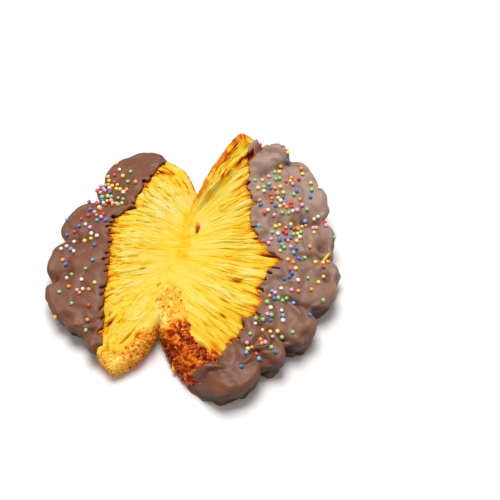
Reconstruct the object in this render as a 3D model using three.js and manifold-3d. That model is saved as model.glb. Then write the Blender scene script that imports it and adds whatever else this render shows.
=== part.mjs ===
// Butterfly cookie: two fans of baked pastry sheets that meet at a pinched waist, lying cut side up, with the
// end of each wing dipped in chocolate and scattered with sugar pearls. Millimetres, +Z up; the cookie lies on
// z = 0, its front notch towards -Y, and the origin is under the middle of its outline.
import * as THREE from "three";
import { mergeVertices } from "three/addons/utils/BufferGeometryUtils.js";
import Module from "manifold-3d";

const wasm = await Module();
wasm.setup();

// ---------------------------------------------------------------- driving dimensions
const COAT = 1.4; // chocolate over the top, round the rim and below
const GAP = 0.3; // between the pastry and the inside of its coat
const UNDERSIDE = 1.3; // height of the flat baked underside over the table
const SHEET_LENGTH = 50; // from the waist to the rim
const WAIST_THICK = 8.6; // pastry at the pinched waist
const WING_THICK = 11.2; // pastry across the middle of a wing
const EDGE_ROUND = 2.2; // how far the top of the rim is drawn in
const CREASE_DEPTH = 1.6; // deepest groove between two flaky sheets
const SHEET_COUNT = 24; // sheets that show in one wing, each a ridge and a groove
const BARE_STEPS = 8; // steps along a sheet from the waist to the chocolate
const DIPPED_STEPS = 3; // and from there to the rim
const WAIST_LAP = 0.1; // how far a wing runs on past the waist into the other, as a part of its length
const COAT_FROM = 0.4; // where the coat starts before its edge is cut, as a part of a sheet's length
const DIP_FROM = 0.56; // where the chocolate starts on most sheets, as a part of their length
const WAIST_MEET = 0.8; // how far the walls of the wings run into each other at the waist
const PEARL = 1.55; // diameter of a sugar pearl
const PEARL_SUNK = 0.3; // part of its radius that is sunk in the chocolate
const PEARL_CLEAR = 1.9; // least distance between the middles of two pearls
const TOOTH = 1.3; // how far a tooth of the dip line runs up the flakes
const TEETH = 46; // teeth and clefts of one dip line
const VALLEY_DEPTH = 1.1; // hollow that runs in from the rim between two lobes
const VALLEY_TURN = 3.5; // its half width, in degrees round the fan
const EDGE_DROP = 0.8; // how much thinner the front and back edges of a wing are
const WALL_LEAN = 0.1; // how far the wall is drawn in at its shoulder
const FOOT_LEAN = 1; // and at its foot
const SHOULDER = 0.7; // height on the wall where its rounded shoulder starts
const DIP_STEP = 0.04; // part of a sheet over which its creases end under the chocolate
const SHEET_PROUD = 0.25; // how far a sheet can stand proud
const RIM_SWELL = 2.6; // power that squares off the arc of a lobe

// A wing is described about the middle of the waist, from its front edge (s = -1) round to its back edge
// (s = 1). lobes: [angle in degrees, reach there, swell of the arc to the next], for the ends of its sheets.
// dip: [s, t] along the edge of the chocolate, where t runs from the waist (0) to the rim (1).
// drifts: [s, t, spread in s, spread in t, pearls], for the patches in which the pearls lie.
const LEFT_WING = {
  side: -1,
  seed: 11,
  waistFront: [-8.5, -14],
  waistBack: [3.5, 21],
  bowFront: 7.6,
  bowBack: 5.5,
  lean: 0.03,
  rimDrop: 3.4,
  curl: 0,
  backSheet: 0.6,
  lump: 0.3,
  lobes: [
    [244, 54.3, -1],
    [221, 49.6, 2.4],
    [190, 50.6, 1.6],
    [171, 45.4, 4.3],
    [142, 42.2, 2],
    [132, 48.8, 3.5],
    [103, 51, 0],
  ],
  dip: [
    [-1, 1.3],
    [-0.91, 1.02],
    [-0.78, 0.87],
    [-0.55, 0.62],
    [-0.4, 0.53],
    [-0.15, 0.52],
    [0.09, 0.61],
    [0.54, 0.59],
    [0.73, 0.6],
    [0.92, 0.76],
    [1, 0.93],
  ],
  drifts: [
    [0.28, 0.8, 0.16, 0.12, 24],
    [0.75, 0.82, 0.2, 0.1, 12],
    [-0.3, 0.78, 0.3, 0.14, 13],
    [0, 0.8, 0.7, 0.14, 10],
  ],
};

const RIGHT_WING = {
  side: 1,
  seed: 23,
  waistFront: [-8.5, -14],
  waistBack: [2.5, 18],
  bowFront: 6,
  bowBack: 2.5,
  lean: 0.15,
  rimDrop: 1.8,
  curl: 11,
  backSheet: 2.4,
  lump: 0.55,
  lobes: [
    [-84, 55.4, 5.2],
    [-59, 55.8, 3.5],
    [-47, 53.8, 5.4],
    [-28, 52.6, 4.5],
    [-2, 55.7, 1.8],
    [15, 54.9, 3.3],
    [44, 56.4, 2.2],
    [57, 53.6, 0.5],
    [68, 53.8, 0],
  ],
  dip: [
    [-1, 0.86],
    [-0.93, 0.81],
    [-0.76, 0.75],
    [-0.57, 0.69],
    [-0.31, 0.64],
    [-0.11, 0.59],
    [0.03, 0.65],
    [0.14, 0.53],
    [0.41, 0.48],
    [0.67, 0.58],
    [0.79, 0.72],
    [0.88, 0.89],
    [0.93, 1.2],
    [1, 1.3],
  ],
  drifts: [
    [0.45, 0.68, 0.25, 0.14, 32],
    [0.1, 0.78, 0.25, 0.12, 24],
    [-0.3, 0.8, 0.3, 0.12, 22],
    [-0.1, 0.84, 0.7, 0.1, 14],
  ],
};

// The back of a wing can curl up off the table. It does so towards this angle, from this far out from the
// waist centre, and over this much further it rises by its whole curl.
const CURL_TURN = THREE.MathUtils.degToRad(75);
const CURL_FROM = 10;
const CURL_RUN = 43;
const CURL_FACETS = 8;

const FAR = 100; // well past the outline of the cookie
const BELOW = -8; // well below the table, where rough solids start that are then cut off

// ---------------------------------------------------------------- small helpers
const clamp01 = (x) => Math.min(1, Math.max(0, x));
const smooth = (x) => clamp01(x) ** 2 * (3 - 2 * clamp01(x));
const mix = (a, b, k) => a + (b - a) * k;

function seeded(seed) {
  let state = seed;
  return () => {
    state = (state * 1664525 + 1013904223) % 4294967296;
    return state / 4294967296;
  };
}

// Value at x on the straight pieces between [x, value] pairs.
function along(pairs, x) {
  let k = 0;
  while (k < pairs.length - 2 && x > pairs[k + 1][0]) k++;
  const [[x0, v0], [x1, v1]] = [pairs[k], pairs[k + 1]];
  return mix(v0, v1, clamp01((x - x0) / (x1 - x0)));
}

function solidOf(geometry) {
  const bare = geometry.clone();
  bare.deleteAttribute("normal");
  bare.deleteAttribute("uv");
  const merged = mergeVertices(bare, 1e-4);
  return new wasm.Manifold(
    new wasm.Mesh({
      numProp: 3,
      vertProperties: new Float32Array(merged.attributes.position.array),
      triVerts: new Uint32Array(merged.index.array),
    }),
  );
}

function geometryOf(solid) {
  const mesh = solid.getMesh();
  const geometry = new THREE.BufferGeometry();
  geometry.setAttribute("position", new THREE.BufferAttribute(new Float32Array(mesh.vertProperties), 3));
  geometry.setIndex(new THREE.BufferAttribute(new Uint32Array(mesh.triVerts), 1));
  geometry.computeVertexNormals();
  return geometry;
}

// The largest of a solid's separate bodies; scraps that a cut leaves loose are dropped.
function mainBody(solid) {
  return solid.decompose().reduce((a, b) => (b.volume() > a.volume() ? b : a));
}

// ---------------------------------------------------------------- the form of a wing
// Distance of the rim from the waist centre at a turn of the fan.
function reach(wing, turn) {
  const way = Math.sign(wing.lobes[1][0] - wing.lobes[0][0]);
  let k = 0;
  while (k < wing.lobes.length - 2 && (turn - wing.lobes[k + 1][0]) * way > 0) k++;
  const [[from, near, swell], [to, far]] = [wing.lobes[k], wing.lobes[k + 1]];
  const u = (turn - from) / (to - from);
  return mix(near, far, u) + swell * (1 - Math.abs(2 * u - 1) ** RIM_SWELL);
}

// Angle of the fan at s.
function turnAt(wing, s) {
  return mix(wing.lobes[0][0], wing.lobes.at(-1)[0], (s + 1) / 2);
}

// Place in plan of s round the fan and t out along a sheet, with the outline grown by grow.
function plan(wing, s, t, grow = 0) {
  const turn = turnAt(wing, s);
  const r = reach(wing, turn) + grow;
  const angle = THREE.MathUtils.degToRad(turn);
  const end = new THREE.Vector2(Math.cos(angle), Math.sin(angle)).multiplyScalar(r);
  const start = new THREE.Vector2(...wing.waistFront).lerp(new THREE.Vector2(...wing.waistBack), (s + 1) / 2);
  const out = end.clone().sub(start);
  const across = new THREE.Vector2(-out.y, out.x).normalize().multiplyScalar(wing.side);
  const arc = 4 * t * (1 - t);
  const fullness = t > 0 && t < 1 ? arc ** (t < 0.5 ? 0.5 : 0.8) : arc;
  const bow = (s < 0 ? -wing.bowFront : wing.bowBack) * s * s * fullness;
  const side = grow * Math.sign(s) * Math.abs(s) ** 6;
  return start.addScaledVector(out, t).addScaledVector(across, bow + side);
}

// The front face of a wing leans back: at height h (0 at the underside, 1 on top) its edge has moved round.
function leaned(wing, s, t, h) {
  return s + wing.lean * clamp01(t) * h * ((1 - s) / 2) ** 5;
}

// How far the edge is drawn in: nothing at the waist, where the walls of the wings run into each other.
const drawnIn = (inset, t) => mix(-WAIST_MEET, inset, smooth(t / 0.35));

// How far the wing has curled up off the table, by the distance along the curl and at a place in plan.
const curled = (wing, distance) => wing.curl * clamp01((distance - CURL_FROM) / CURL_RUN) ** 2;
const rise = (wing, { x, y }) => curled(wing, x * Math.cos(CURL_TURN) + y * Math.sin(CURL_TURN));

// Thickness of the smooth pastry, which swells out of the waist and thins to the rim, with a dip between
// lobes.
function thickness(wing, s, t) {
  const swell = (WING_THICK - WAIST_THICK) * smooth(t / 0.4);
  const thin = wing.rimDrop * smooth((t - 0.55) / 0.45);
  const turn = turnAt(wing, s);
  const valley = wing.lobes.slice(1, -1).reduce((deepest, [angle]) => {
    return Math.max(deepest, Math.exp(-(((turn - angle) / VALLEY_TURN) ** 2)));
  }, 0);
  const backSheet = wing.backSheet * smooth((s - 0.8) / 0.1) * smooth(t / 0.35);
  const edge = EDGE_DROP * Math.abs(s) ** 8;
  return WAIST_THICK + swell - thin + backSheet - edge - VALLEY_DEPTH * valley * smooth((t - 0.4) / 0.6);
}

// 1 where chocolate covers the pastry, 0 where it is bare.
function covered(wing, s, t) {
  return smooth((t - along(wing.dip, s)) / DIP_STEP - 0.5);
}

// Block of all that lies under a wing whose flat underside is at a height.
function underBlock(wing, height) {
  const profile = [new THREE.Vector2(-FAR, BELOW - 1), new THREE.Vector2(-FAR, height)];
  for (let k = 0; k <= CURL_FACETS; k++) {
    const distance = CURL_FROM + (CURL_RUN * k) / CURL_FACETS;
    profile.push(new THREE.Vector2(distance, height + curled(wing, distance)));
  }
  profile.push(new THREE.Vector2(FAR, height + wing.curl), new THREE.Vector2(FAR, BELOW - 1));
  const block = new THREE.ExtrudeGeometry(new THREE.Shape(profile), { depth: 2 * FAR, bevelEnabled: false });
  block.translate(0, 0, -FAR).rotateX(Math.PI / 2).rotateZ(CURL_TURN);
  return solidOf(block);
}

// Steps from one place to another, the first included and the last left out.
const evenly = (from, to, count) => Array.from({ length: count }, (_, k) => mix(from, to, k / count));

// Closed slab of one wing. stations: its steps in t. round: its steps in s. lift(s, t) is added to the smooth
// top.
function slab(wing, { stations, round, grow, lift }) {
  const steps = stations.length - 1;
  const points = [];
  const faces = [];
  const add = (plane, z) => points.push(plane.x, plane.y, z) / 3 - 1;

  const grid = [];
  for (let i = 0; i <= round; i++) {
    const row = [];
    for (let j = 0; j <= steps; j++) {
      const s = (2 * i) / round - 1;
      const t = stations[j];
      const place = plan(wing, leaned(wing, s, t, 1), t, grow - drawnIn(EDGE_ROUND, t));
      row.push(add(place, UNDERSIDE + thickness(wing, s, t) + rise(wing, place) + grow + lift(s, t)));
    }
    grid.push(row);
  }
  for (let i = 0; i < round; i++) {
    for (let j = 0; j < steps; j++) {
      const [a, b, c, d] = [grid[i][j], grid[i + 1][j], grid[i + 1][j + 1], grid[i][j + 1]];
      if ((i + j) % 2) faces.push([a, b, c], [a, c, d]);
      else faces.push([a, b, d], [b, c, d]);
    }
  }

  // The edge of the grid, taken once round, then carried down the walls in rings.
  const edge = [];
  for (let i = 0; i < round; i++) edge.push([i, 0]);
  for (let j = 0; j < steps; j++) edge.push([round, j]);
  for (let i = round; i > 0; i--) edge.push([i, steps]);
  for (let j = steps; j > 0; j--) edge.push([0, j]);
  let ring = edge.map(([i, j]) => grid[i][j]);
  const levels = [
    { h: SHOULDER, inset: WALL_LEAN },
    { h: -0.15, inset: FOOT_LEAN },
    { h: null, inset: FOOT_LEAN },
  ];
  for (const { h, inset } of levels) {
    const next = edge.map(([i, j]) => {
      const s = (2 * i) / round - 1;
      const t = stations[j];
      const place = plan(wing, leaned(wing, s, t, h ?? 0), t, grow - drawnIn(inset, t));
      const base = UNDERSIDE - grow + rise(wing, place);
      return add(place, h === null ? BELOW : base + h * (thickness(wing, s, t) + 2 * grow));
    });
    ring.forEach((a, k) => {
      const m = (k + 1) % ring.length;
      faces.push([a, next[k], next[m]], [a, next[m], ring[m]]);
    });
    ring = next;
  }
  if (wing.side > 0) faces.forEach((face) => face.reverse());
  const outline = ring.map((p) => new THREE.Vector2(points[3 * p], points[3 * p + 1]));
  for (const [a, b, c] of THREE.ShapeUtils.triangulateShape(outline, [])) {
    const facesUp = outline[b].clone().sub(outline[a]).cross(outline[c].clone().sub(outline[a])) > 0;
    faces.push(facesUp ? [ring[a], ring[c], ring[b]] : [ring[a], ring[b], ring[c]]);
  }

  const geometry = new THREE.BufferGeometry();
  geometry.setAttribute("position", new THREE.Float32BufferAttribute(points, 3));
  geometry.setIndex(faces.flat());
  return solidOf(geometry).subtract(underBlock(wing, UNDERSIDE - grow));
}

// ---------------------------------------------------------------- pastry
// Grooves between the sheets, each of its own depth and length, and sheets that stand a little proud.
function flakes(wing) {
  const draw = seeded(wing.seed);
  const sheets = Array.from({ length: SHEET_COUNT * 2 + 1 }, (_, k) => ({
    depth: k % 2 ? CREASE_DEPTH * mix(0.35, 1, draw()) : -SHEET_PROUD * draw(),
    wave: mix(3, 9, draw()),
    phase: 6.3 * draw(),
  }));
  return (s, t) => {
    const { depth, wave, phase } = sheets[Math.round(((s + 1) / 2) * SHEET_COUNT * 2)];
    const open = smooth(t / 0.12) * (1 - covered(wing, s, t));
    return -depth * (0.72 + 0.28 * Math.sin(wave * t + phase)) * open;
  };
}

function pastrySlab(wing) {
  const stations = [...evenly(-WAIST_LAP, DIP_FROM, BARE_STEPS), ...evenly(DIP_FROM, 1, DIPPED_STEPS), 1];
  return slab(wing, { stations, round: SHEET_COUNT * 2, grow: 0, lift: flakes(wing) });
}

// ---------------------------------------------------------------- chocolate
// Soft lumps in the set chocolate.
function lumps(wing, s, t) {
  const folds = Math.sin(17 * s + 5 * t + wing.seed) * Math.cos(9 * t - 6 * s);
  return wing.lump * (folds + 0.6 * Math.sin(31 * s - 14 * t));
}

// Upright prism over all that is dipped: its inner side is the toothed edge of the chocolate.
function dipPrism(wing) {
  const draw = seeded(wing.seed + 1);
  const past = 8;
  const edge = [plan(wing, -1, along(wing.dip, -1), past)];
  for (let k = 0; k <= TEETH; k++) {
    const s = (2 * k) / TEETH - 1;
    const tooth = (k % 2 ? 1 : -0.4) * TOOTH * mix(0.5, 1, draw());
    edge.push(plan(wing, s, along(wing.dip, s) - tooth / SHEET_LENGTH));
  }
  edge.push(plan(wing, 1, along(wing.dip, 1), past));
  const turns = 12;
  for (let k = 0; k <= turns; k++) {
    const angle = THREE.MathUtils.degToRad(turnAt(wing, 1 - (2 * k) / turns));
    edge.push(new THREE.Vector2(FAR * Math.cos(angle), FAR * Math.sin(angle)));
  }
  return solidOf(new THREE.ExtrudeGeometry(new THREE.Shape(edge), { depth: FAR, bevelEnabled: false }));
}

// Point on top of the chocolate, and the way it faces.
function coatTop(wing, s, t) {
  const at = (u, v) => {
    const place = plan(wing, leaned(wing, u, v, 1), v, COAT - EDGE_ROUND);
    const z = UNDERSIDE + thickness(wing, u, v) + rise(wing, place) + COAT + lumps(wing, u, v);
    return new THREE.Vector3(place.x, place.y, z);
  };
  const step = 0.01;
  const here = at(s, t);
  const round = at(s + step, t).sub(at(s - step, t));
  const out = at(s, t + step).sub(at(s, t - step));
  const normal = round.cross(out).normalize();
  return { here, normal: normal.z < 0 ? normal.negate() : normal };
}

// One pearl, with a corner pointing down into the chocolate.
function pearl(middle, normal) {
  const ball = new THREE.IcosahedronGeometry(PEARL / 2, 0);
  const corner = new THREE.Vector3().fromBufferAttribute(ball.attributes.position, 0).normalize();
  ball.applyQuaternion(new THREE.Quaternion().setFromUnitVectors(corner, normal.clone().negate()));
  ball.translate(middle.x, middle.y, middle.z);
  return solidOf(ball);
}

// Sugar pearls in the wing's drifts, each clear of the chocolate's edge and of the others.
function pearls(wing) {
  const tooFar = (s, t) => Math.abs(s) > 0.95 || t > 0.985 || t < along(wing.dip, s) + 0.06;
  const draw = seeded(wing.seed + 2);
  const spread = () => 1.6 * (draw() + draw() + draw() - 1.5);
  const placed = [];
  const made = [];
  for (const [s0, t0, ds, dt, count] of wing.drifts) {
    let left = count;
    for (let tries = 0; left > 0 && tries < 40 * count; tries++) {
      const s = s0 + ds * spread();
      const t = t0 + dt * spread();
      if (tooFar(s, t)) continue;
      const { here, normal } = coatTop(wing, s, t);
      if (placed.some((p) => p.distanceTo(here) < PEARL_CLEAR)) continue;
      placed.push(here);
      made.push(pearl(here.addScaledVector(normal, (PEARL / 2) * (1 - PEARL_SUNK)), normal));
      left--;
    }
  }
  return made;
}

function chocolate(wing) {
  const shell = [COAT_FROM, ...evenly(DIP_FROM, 1, DIPPED_STEPS), 1];
  const steps = { stations: shell, round: SHEET_COUNT * 2 };
  const outside = slab(wing, { ...steps, grow: COAT, lift: (s, t) => lumps(wing, s, t) });
  const inside = slab(wing, { ...steps, grow: GAP + SHEET_PROUD, lift: () => 0 });
  const dipped = outside.intersect(dipPrism(wing));
  return mainBody(wasm.Manifold.union([dipped, ...pearls(wing)]).subtract(inside));
}

// ---------------------------------------------------------------- the cookie
function piece(name, solid, color, roughness) {
  const material = new THREE.MeshStandardMaterial({ color, roughness, metalness: 0 });
  const mesh = new THREE.Mesh(geometryOf(solid), material);
  mesh.name = name;
  return mesh;
}

const group = new THREE.Group();
group.add(piece("pastry", mainBody(pastrySlab(LEFT_WING).add(pastrySlab(RIGHT_WING))), 0xd9a03f, 0.7));
group.add(piece("chocolate_left", chocolate(LEFT_WING), 0x6b3d2a, 0.4));
group.add(piece("chocolate_right", chocolate(RIGHT_WING), 0x6b3d2a, 0.4));

// The origin is put under the middle of the outline.
const middle = new THREE.Box3().setFromObject(group).getCenter(new THREE.Vector3());
for (const mesh of group.children) mesh.position.set(-middle.x, -middle.y, 0);

export default group;
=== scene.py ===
"""A butterfly cookie: two fans of flaky puff pastry joined at a pinched waist, the end of each wing
dipped in milk chocolate and strewn with sugar pearls.

Forms are worked out in millimetres about the middle of the waist, with -Y towards the front notch, and
turned into metres in the part's frame when a mesh is made. A wing is described by s, from its front edge
(-1) round the fan to its back edge (1), by t, from the waist (0) out to the rim (1), and by h, from its
underside (0) to its top (1).
"""

import itertools
import logging
import math
from dataclasses import dataclass
from enum import Enum
from typing import Any, Callable, Sequence

import bmesh
import bpy
import numpy as np
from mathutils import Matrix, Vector
from mathutils.bvhtree import BVHTree


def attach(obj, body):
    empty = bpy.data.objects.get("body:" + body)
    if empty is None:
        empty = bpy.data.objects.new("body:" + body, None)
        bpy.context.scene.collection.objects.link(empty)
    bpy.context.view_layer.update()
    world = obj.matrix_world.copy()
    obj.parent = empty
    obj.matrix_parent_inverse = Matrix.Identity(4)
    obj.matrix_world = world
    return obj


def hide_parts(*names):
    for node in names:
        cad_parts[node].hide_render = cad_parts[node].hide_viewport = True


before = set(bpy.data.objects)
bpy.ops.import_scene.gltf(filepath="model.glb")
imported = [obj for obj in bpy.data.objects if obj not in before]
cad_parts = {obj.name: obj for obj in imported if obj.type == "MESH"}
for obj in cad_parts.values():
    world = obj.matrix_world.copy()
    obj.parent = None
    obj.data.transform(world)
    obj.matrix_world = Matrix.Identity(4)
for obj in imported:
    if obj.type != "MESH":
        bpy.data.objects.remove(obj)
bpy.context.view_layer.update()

logging.basicConfig(level=logging.INFO, format="%(message)s")
log = logging.getLogger("cookie")

Array = np.ndarray
Pairs = Sequence[tuple[float, float]]

MM = 0.001  # metres in a millimetre
WAIST = np.array([-3.78, 4.01, 0.0])  # where the middle of the waist lies in the part's frame
UNDERSIDE = 1.3  # height of the flat baked underside over the table
WAIST_THICK = 8.6  # pastry at the waist
WING_THICK = 11.2  # pastry across the middle of a wing
COAT = 1.4  # chocolate over the top, round the rim and below
EDGE_ROUND = 2.2  # how far the top of the rim is drawn in
FOOT_ROUND = 0.9  # and the foot of the wall
ROUND_FROM = 0.7  # height on the wall where its rounded shoulder starts
WAIST_LAP = 0.1  # how far a wing runs on past the waist, as a part of its length
WAIST_MEET = 0.8  # how far the walls of the wings run into each other at the waist
LAP_RISE = 0.5  # how far the end that runs on lies above the underside of the other wing
CURL_TURN = math.radians(75)  # the back of a wing curls up towards here
CURL_FROM = 10.0  # from this far out from the waist centre
CURL_RUN = 43.0  # and over this much further
SPAN = 38.0  # half the way round a fan, half-way out: turns s into millimetres
LENGTH = 50.0  # a sheet from waist to rim: turns t into millimetres
PEARL = 1.5  # diameter of a sugar pearl
HIGH_UP = 0.1  # metres over the table, above all of the cookie
DOWN = Vector((0, 0, -1))


# ---------------------------------------------------------------- numbers
def clamp01(x: Any) -> Any:
    """Hold x between 0 and 1."""
    return np.clip(x, 0.0, 1.0)


def smooth(x: Any) -> Any:
    """Ease x from 0 to 1."""
    return clamp01(x) ** 2 * (3 - 2 * clamp01(x))


def mix(a: Any, b: Any, k: Any) -> Any:
    """Go from a to b as k goes from 0 to 1."""
    return a + (b - a) * k


def bump(x: Any, middle: float, width: float) -> Any:
    """A smooth bump of height 1 at the middle, down to a third at the width."""
    return np.exp(-(((x - middle) / width) ** 2))


def follow(pairs: Pairs, x: Any) -> Array:
    """Read at x a line that is given as pairs of a place and a value."""
    return np.interp(x, *zip(*pairs))


def linear(hex_code: str) -> tuple[float, float, float, float]:
    """Turn an sRGB colour into the linear values that shaders take.

    Args:
        hex_code: Six hexadecimal digits.

    Returns:
        Linear red, green and blue, and an alpha of 1.
    """
    channels = (int(hex_code[k:k + 2], 16) / 255 for k in (0, 2, 4))
    red, green, blue = (c / 12.92 if c <= 0.04045 else ((c + 0.055) / 1.055) ** 2.4 for c in channels)
    return red, green, blue, 1.0


class Grain:
    """Seeded smooth noise in space, about -1 to 1, for all that baking and dipping leave uneven."""

    SIZE = 256  # cells before the noise repeats
    GAIN = 1.7  # brings it to about -1 to 1

    def __init__(self, seed: int) -> None:
        """Draw the slopes of the lattice.

        Args:
            seed: Start of the random draws.
        """
        draw = np.random.default_rng(seed)
        self.order = draw.permutation(self.SIZE)
        slopes = draw.normal(size=(self.SIZE, 3))
        self.slopes = slopes / np.linalg.norm(slopes, axis=1, keepdims=True)
        self.spots = draw.random((self.SIZE, 3))

    def at(self, x: Any, y: Any, z: Any = 0.0) -> Array:
        """Read the noise.

        Args:
            x: First coordinate, in cells of the lattice.
            y: Second coordinate.
            z: Third coordinate.

        Returns:
            The noise at each place.
        """
        place = np.stack(np.broadcast_arrays(*(np.asarray(v, float) for v in (x, y, z))), -1)
        cell = np.floor(place).astype(int)
        part = place - cell
        ease = part ** 3 * (part * (part * 6 - 15) + 10)
        total = np.zeros(place.shape[:-1])
        for corner in itertools.product((0, 1), repeat=3):
            i, j, k = (cell[..., axis] + corner[axis] for axis in range(3))
            pick = self.order[(i + self.order[(j + self.order[k % self.SIZE]) % self.SIZE]) % self.SIZE]
            weight = np.prod(np.where(corner, ease, 1 - ease), -1)
            total += weight * np.einsum("...c,...c->...", self.slopes[pick], part - corner)
        return self.GAIN * total

    def around(self, points: Array, size: float, layer: float = 0.0) -> Array:
        """Read the noise at points in space, for a feature's size in millimetres."""
        return self.at(points[..., 0] / size + layer, points[..., 1] / size, points[..., 2] / size)

    def streaks(self, across: Array, out: Array, size: tuple[float, float], layer: float) -> Array:
        """Read the noise in streaks along the sheets, of a width and a length in millimetres."""
        return self.at(across / size[0], out / size[1], layer)

    def leaf(self, x: Any, y: Any, layer: int = 0) -> tuple[Array, Array, Array]:
        """Find the leaf that each place lies on, among leaves strewn one to a cell of the lattice.

        Args:
            x: Places across the leaves, in cells.
            y: Places along them.
            layer: Offset that gives another strewing.

        Returns:
            How far each place is from its leaf's edge, the leaf's own value from -1 to 1, and how far
            along it the place is.
        """
        place = np.stack(np.broadcast_arrays(np.asarray(x, float), np.asarray(y, float)), -1)
        cell = np.floor(place).astype(int)
        first, second = (np.full(place.shape[:-1], 9.0) for _ in range(2))
        own, along = (np.zeros(place.shape[:-1]) for _ in range(2))
        for shift in itertools.product((-1, 0, 1), repeat=2):
            near = cell + shift
            pick = self.order[(near[..., 0] + self.order[(near[..., 1] + layer) % self.SIZE]) % self.SIZE]
            off = place - near - self.spots[pick, :2]
            far = np.hypot(off[..., 0], off[..., 1])
            closer = far < first
            second = np.where(closer, first, np.minimum(second, far))
            own = np.where(closer, 2 * self.spots[pick, 2] - 1, own)
            along = np.where(closer, off[..., 1], along)
            first = np.where(closer, far, first)
        return second - first, own, along


# ---------------------------------------------------------------- meshes
def vertex_normals(points: Array, faces: Array) -> Array:
    """Work out which way a closed mesh of triangles faces at each point.

    Args:
        points: Corners.
        faces: Three indices for each triangle.

    Returns:
        Unit normals.
    """
    a, b, c = (points[faces[:, k]] for k in range(3))
    across = np.cross(b - a, c - a)
    total = np.zeros_like(points)
    for k in range(3):
        for axis in range(3):
            total[:, axis] += np.bincount(faces[:, k], across[:, axis], len(points))
    return total / np.maximum(np.linalg.norm(total, axis=1, keepdims=True), 1e-12)


def bare_object(name: str, points: Array, faces: Array) -> bpy.types.Object:
    """Make an object from points about the waist.

    Args:
        name: Name of the object and its mesh.
        points: Corners in millimetres, about the middle of the waist.
        faces: Indices of each face's corners.

    Returns:
        The object, in metres and in the part's frame, with smooth shading.
    """
    mesh = bpy.data.meshes.new(name)
    mesh.from_pydata(((points + WAIST) * MM).tolist(), [], faces.tolist())
    mesh.shade_smooth()
    obj = bpy.data.objects.new(name, mesh)
    bpy.context.scene.collection.objects.link(obj)
    return obj


def read(rows: Any, name: str, width: int = 3, kind: type = float) -> Array:
    """Read a property of each row of a mesh's data.

    Args:
        rows: The mesh's vertices, edges or normals.
        name: Name of the property.
        width: How many numbers each row has.
        kind: Type of the numbers.

    Returns:
        One row of numbers for each row of the data.
    """
    values = np.zeros(len(rows) * width, dtype=kind)
    rows.foreach_get(name, values)
    return values.reshape(-1, width)


def paint(obj: bpy.types.Object, name: str, values: Array) -> None:
    """Store a value or a vector for each point of a mesh, for its material to read.

    Args:
        obj: The object.
        name: Name of the attribute.
        values: One number or three for each point.
    """
    vector = values.ndim == 2
    layer = obj.data.attributes.new(name, "FLOAT_VECTOR" if vector else "FLOAT", "POINT")
    layer.data.foreach_set("vector" if vector else "value", values.astype(np.float32).ravel())


def hand_over(obj: bpy.types.Object, material: bpy.types.Material, nodes: Sequence[str]) -> None:
    """Dress a piece and tie it to the part.

    Args:
        obj: The piece.
        material: Its finish.
        nodes: Solids that it stands for.
    """
    obj.data.materials.clear()
    obj.data.materials.append(material)
    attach(obj, "root")
    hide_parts(*nodes)


def modified(obj: bpy.types.Object) -> tuple[Array, bpy.types.Mesh]:
    """Apply an object's modifiers to a new mesh.

    Args:
        obj: The object with its modifiers.

    Returns:
        The new mesh's points in millimetres about the waist, and the mesh.
    """
    bpy.context.view_layer.update()
    mesh = bpy.data.meshes.new_from_object(obj.evaluated_get(bpy.context.evaluated_depsgraph_get()))
    return read(mesh.vertices, "co") / MM - WAIST, mesh


def hollows(obj: bpy.types.Object, rounds: int) -> Array:
    """Work out how far each point of a mesh lies below what surrounds it.

    Args:
        obj: The object.
        rounds: How many times each point moves to the middle of its neighbours; more looks further.

    Returns:
        Millimetres, above 0 in a hollow and below 0 on a ridge.
    """
    mesh = obj.data
    ends = read(mesh.edges, "vertices", 2, np.int32)
    points, normals = read(mesh.vertices, "co"), read(mesh.vertex_normals, "vector")
    one, two = np.concatenate([ends, ends[:, ::-1]]).T
    count = np.maximum(np.bincount(one, minlength=len(points)), 1)[:, None]
    around = points
    for _ in range(rounds):
        sums = [np.bincount(one, around[two, axis], len(points)) for axis in range(3)]
        around = np.stack(sums, 1) / count
    return ((around - points) * normals).sum(1) / MM


# ---------------------------------------------------------------- finishes
def add(tree: bpy.types.NodeTree, kind: str, links: dict[Any, Any] | None = None,
        **settings: Any) -> bpy.types.Node:
    """Add a node with its settings and links.

    Args:
        tree: Node tree.
        kind: Type of the node.
        links: For each input, by name or number, the socket it comes from or its value.
        settings: Properties of the node.

    Returns:
        The new node.
    """
    made = tree.nodes.new(kind)
    for name, value in settings.items():
        setattr(made, name, value)
    for name, value in (links or {}).items():
        if isinstance(value, bpy.types.NodeSocket):
            tree.links.new(value, made.inputs[name])
        else:
            made.inputs[name].default_value = value
    return made


def blank_material(name: str) -> tuple[bpy.types.Material, bpy.types.NodeTree]:
    """Start a material with no nodes in it.

    Args:
        name: Name of the material.

    Returns:
        The material and its node tree.
    """
    material = bpy.data.materials.new(name)
    material.use_nodes = True
    material.node_tree.nodes.clear()
    return material, material.node_tree


def ramp(tree: bpy.types.NodeTree, value: bpy.types.NodeSocket, stops: Sequence[tuple[float, str]],
         white: float = 1.0) -> bpy.types.Node:
    """Turn a value into a colour through a row of stops.

    Args:
        tree: Node tree.
        value: Socket that gives the value.
        stops: Pairs of place and sRGB hex colour.
        white: Share of the light that a pure white stop throws back.

    Returns:
        The colour ramp node.
    """
    made = add(tree, "ShaderNodeValToRGB", {"Fac": value})
    elements = made.color_ramp.elements
    while len(elements) < len(stops):
        elements.new(0.5)
    for element, (place, colour) in zip(elements, stops):
        element.position = place
        element.color = (*(white * channel for channel in linear(colour)[:3]), 1.0)
    return made


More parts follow.
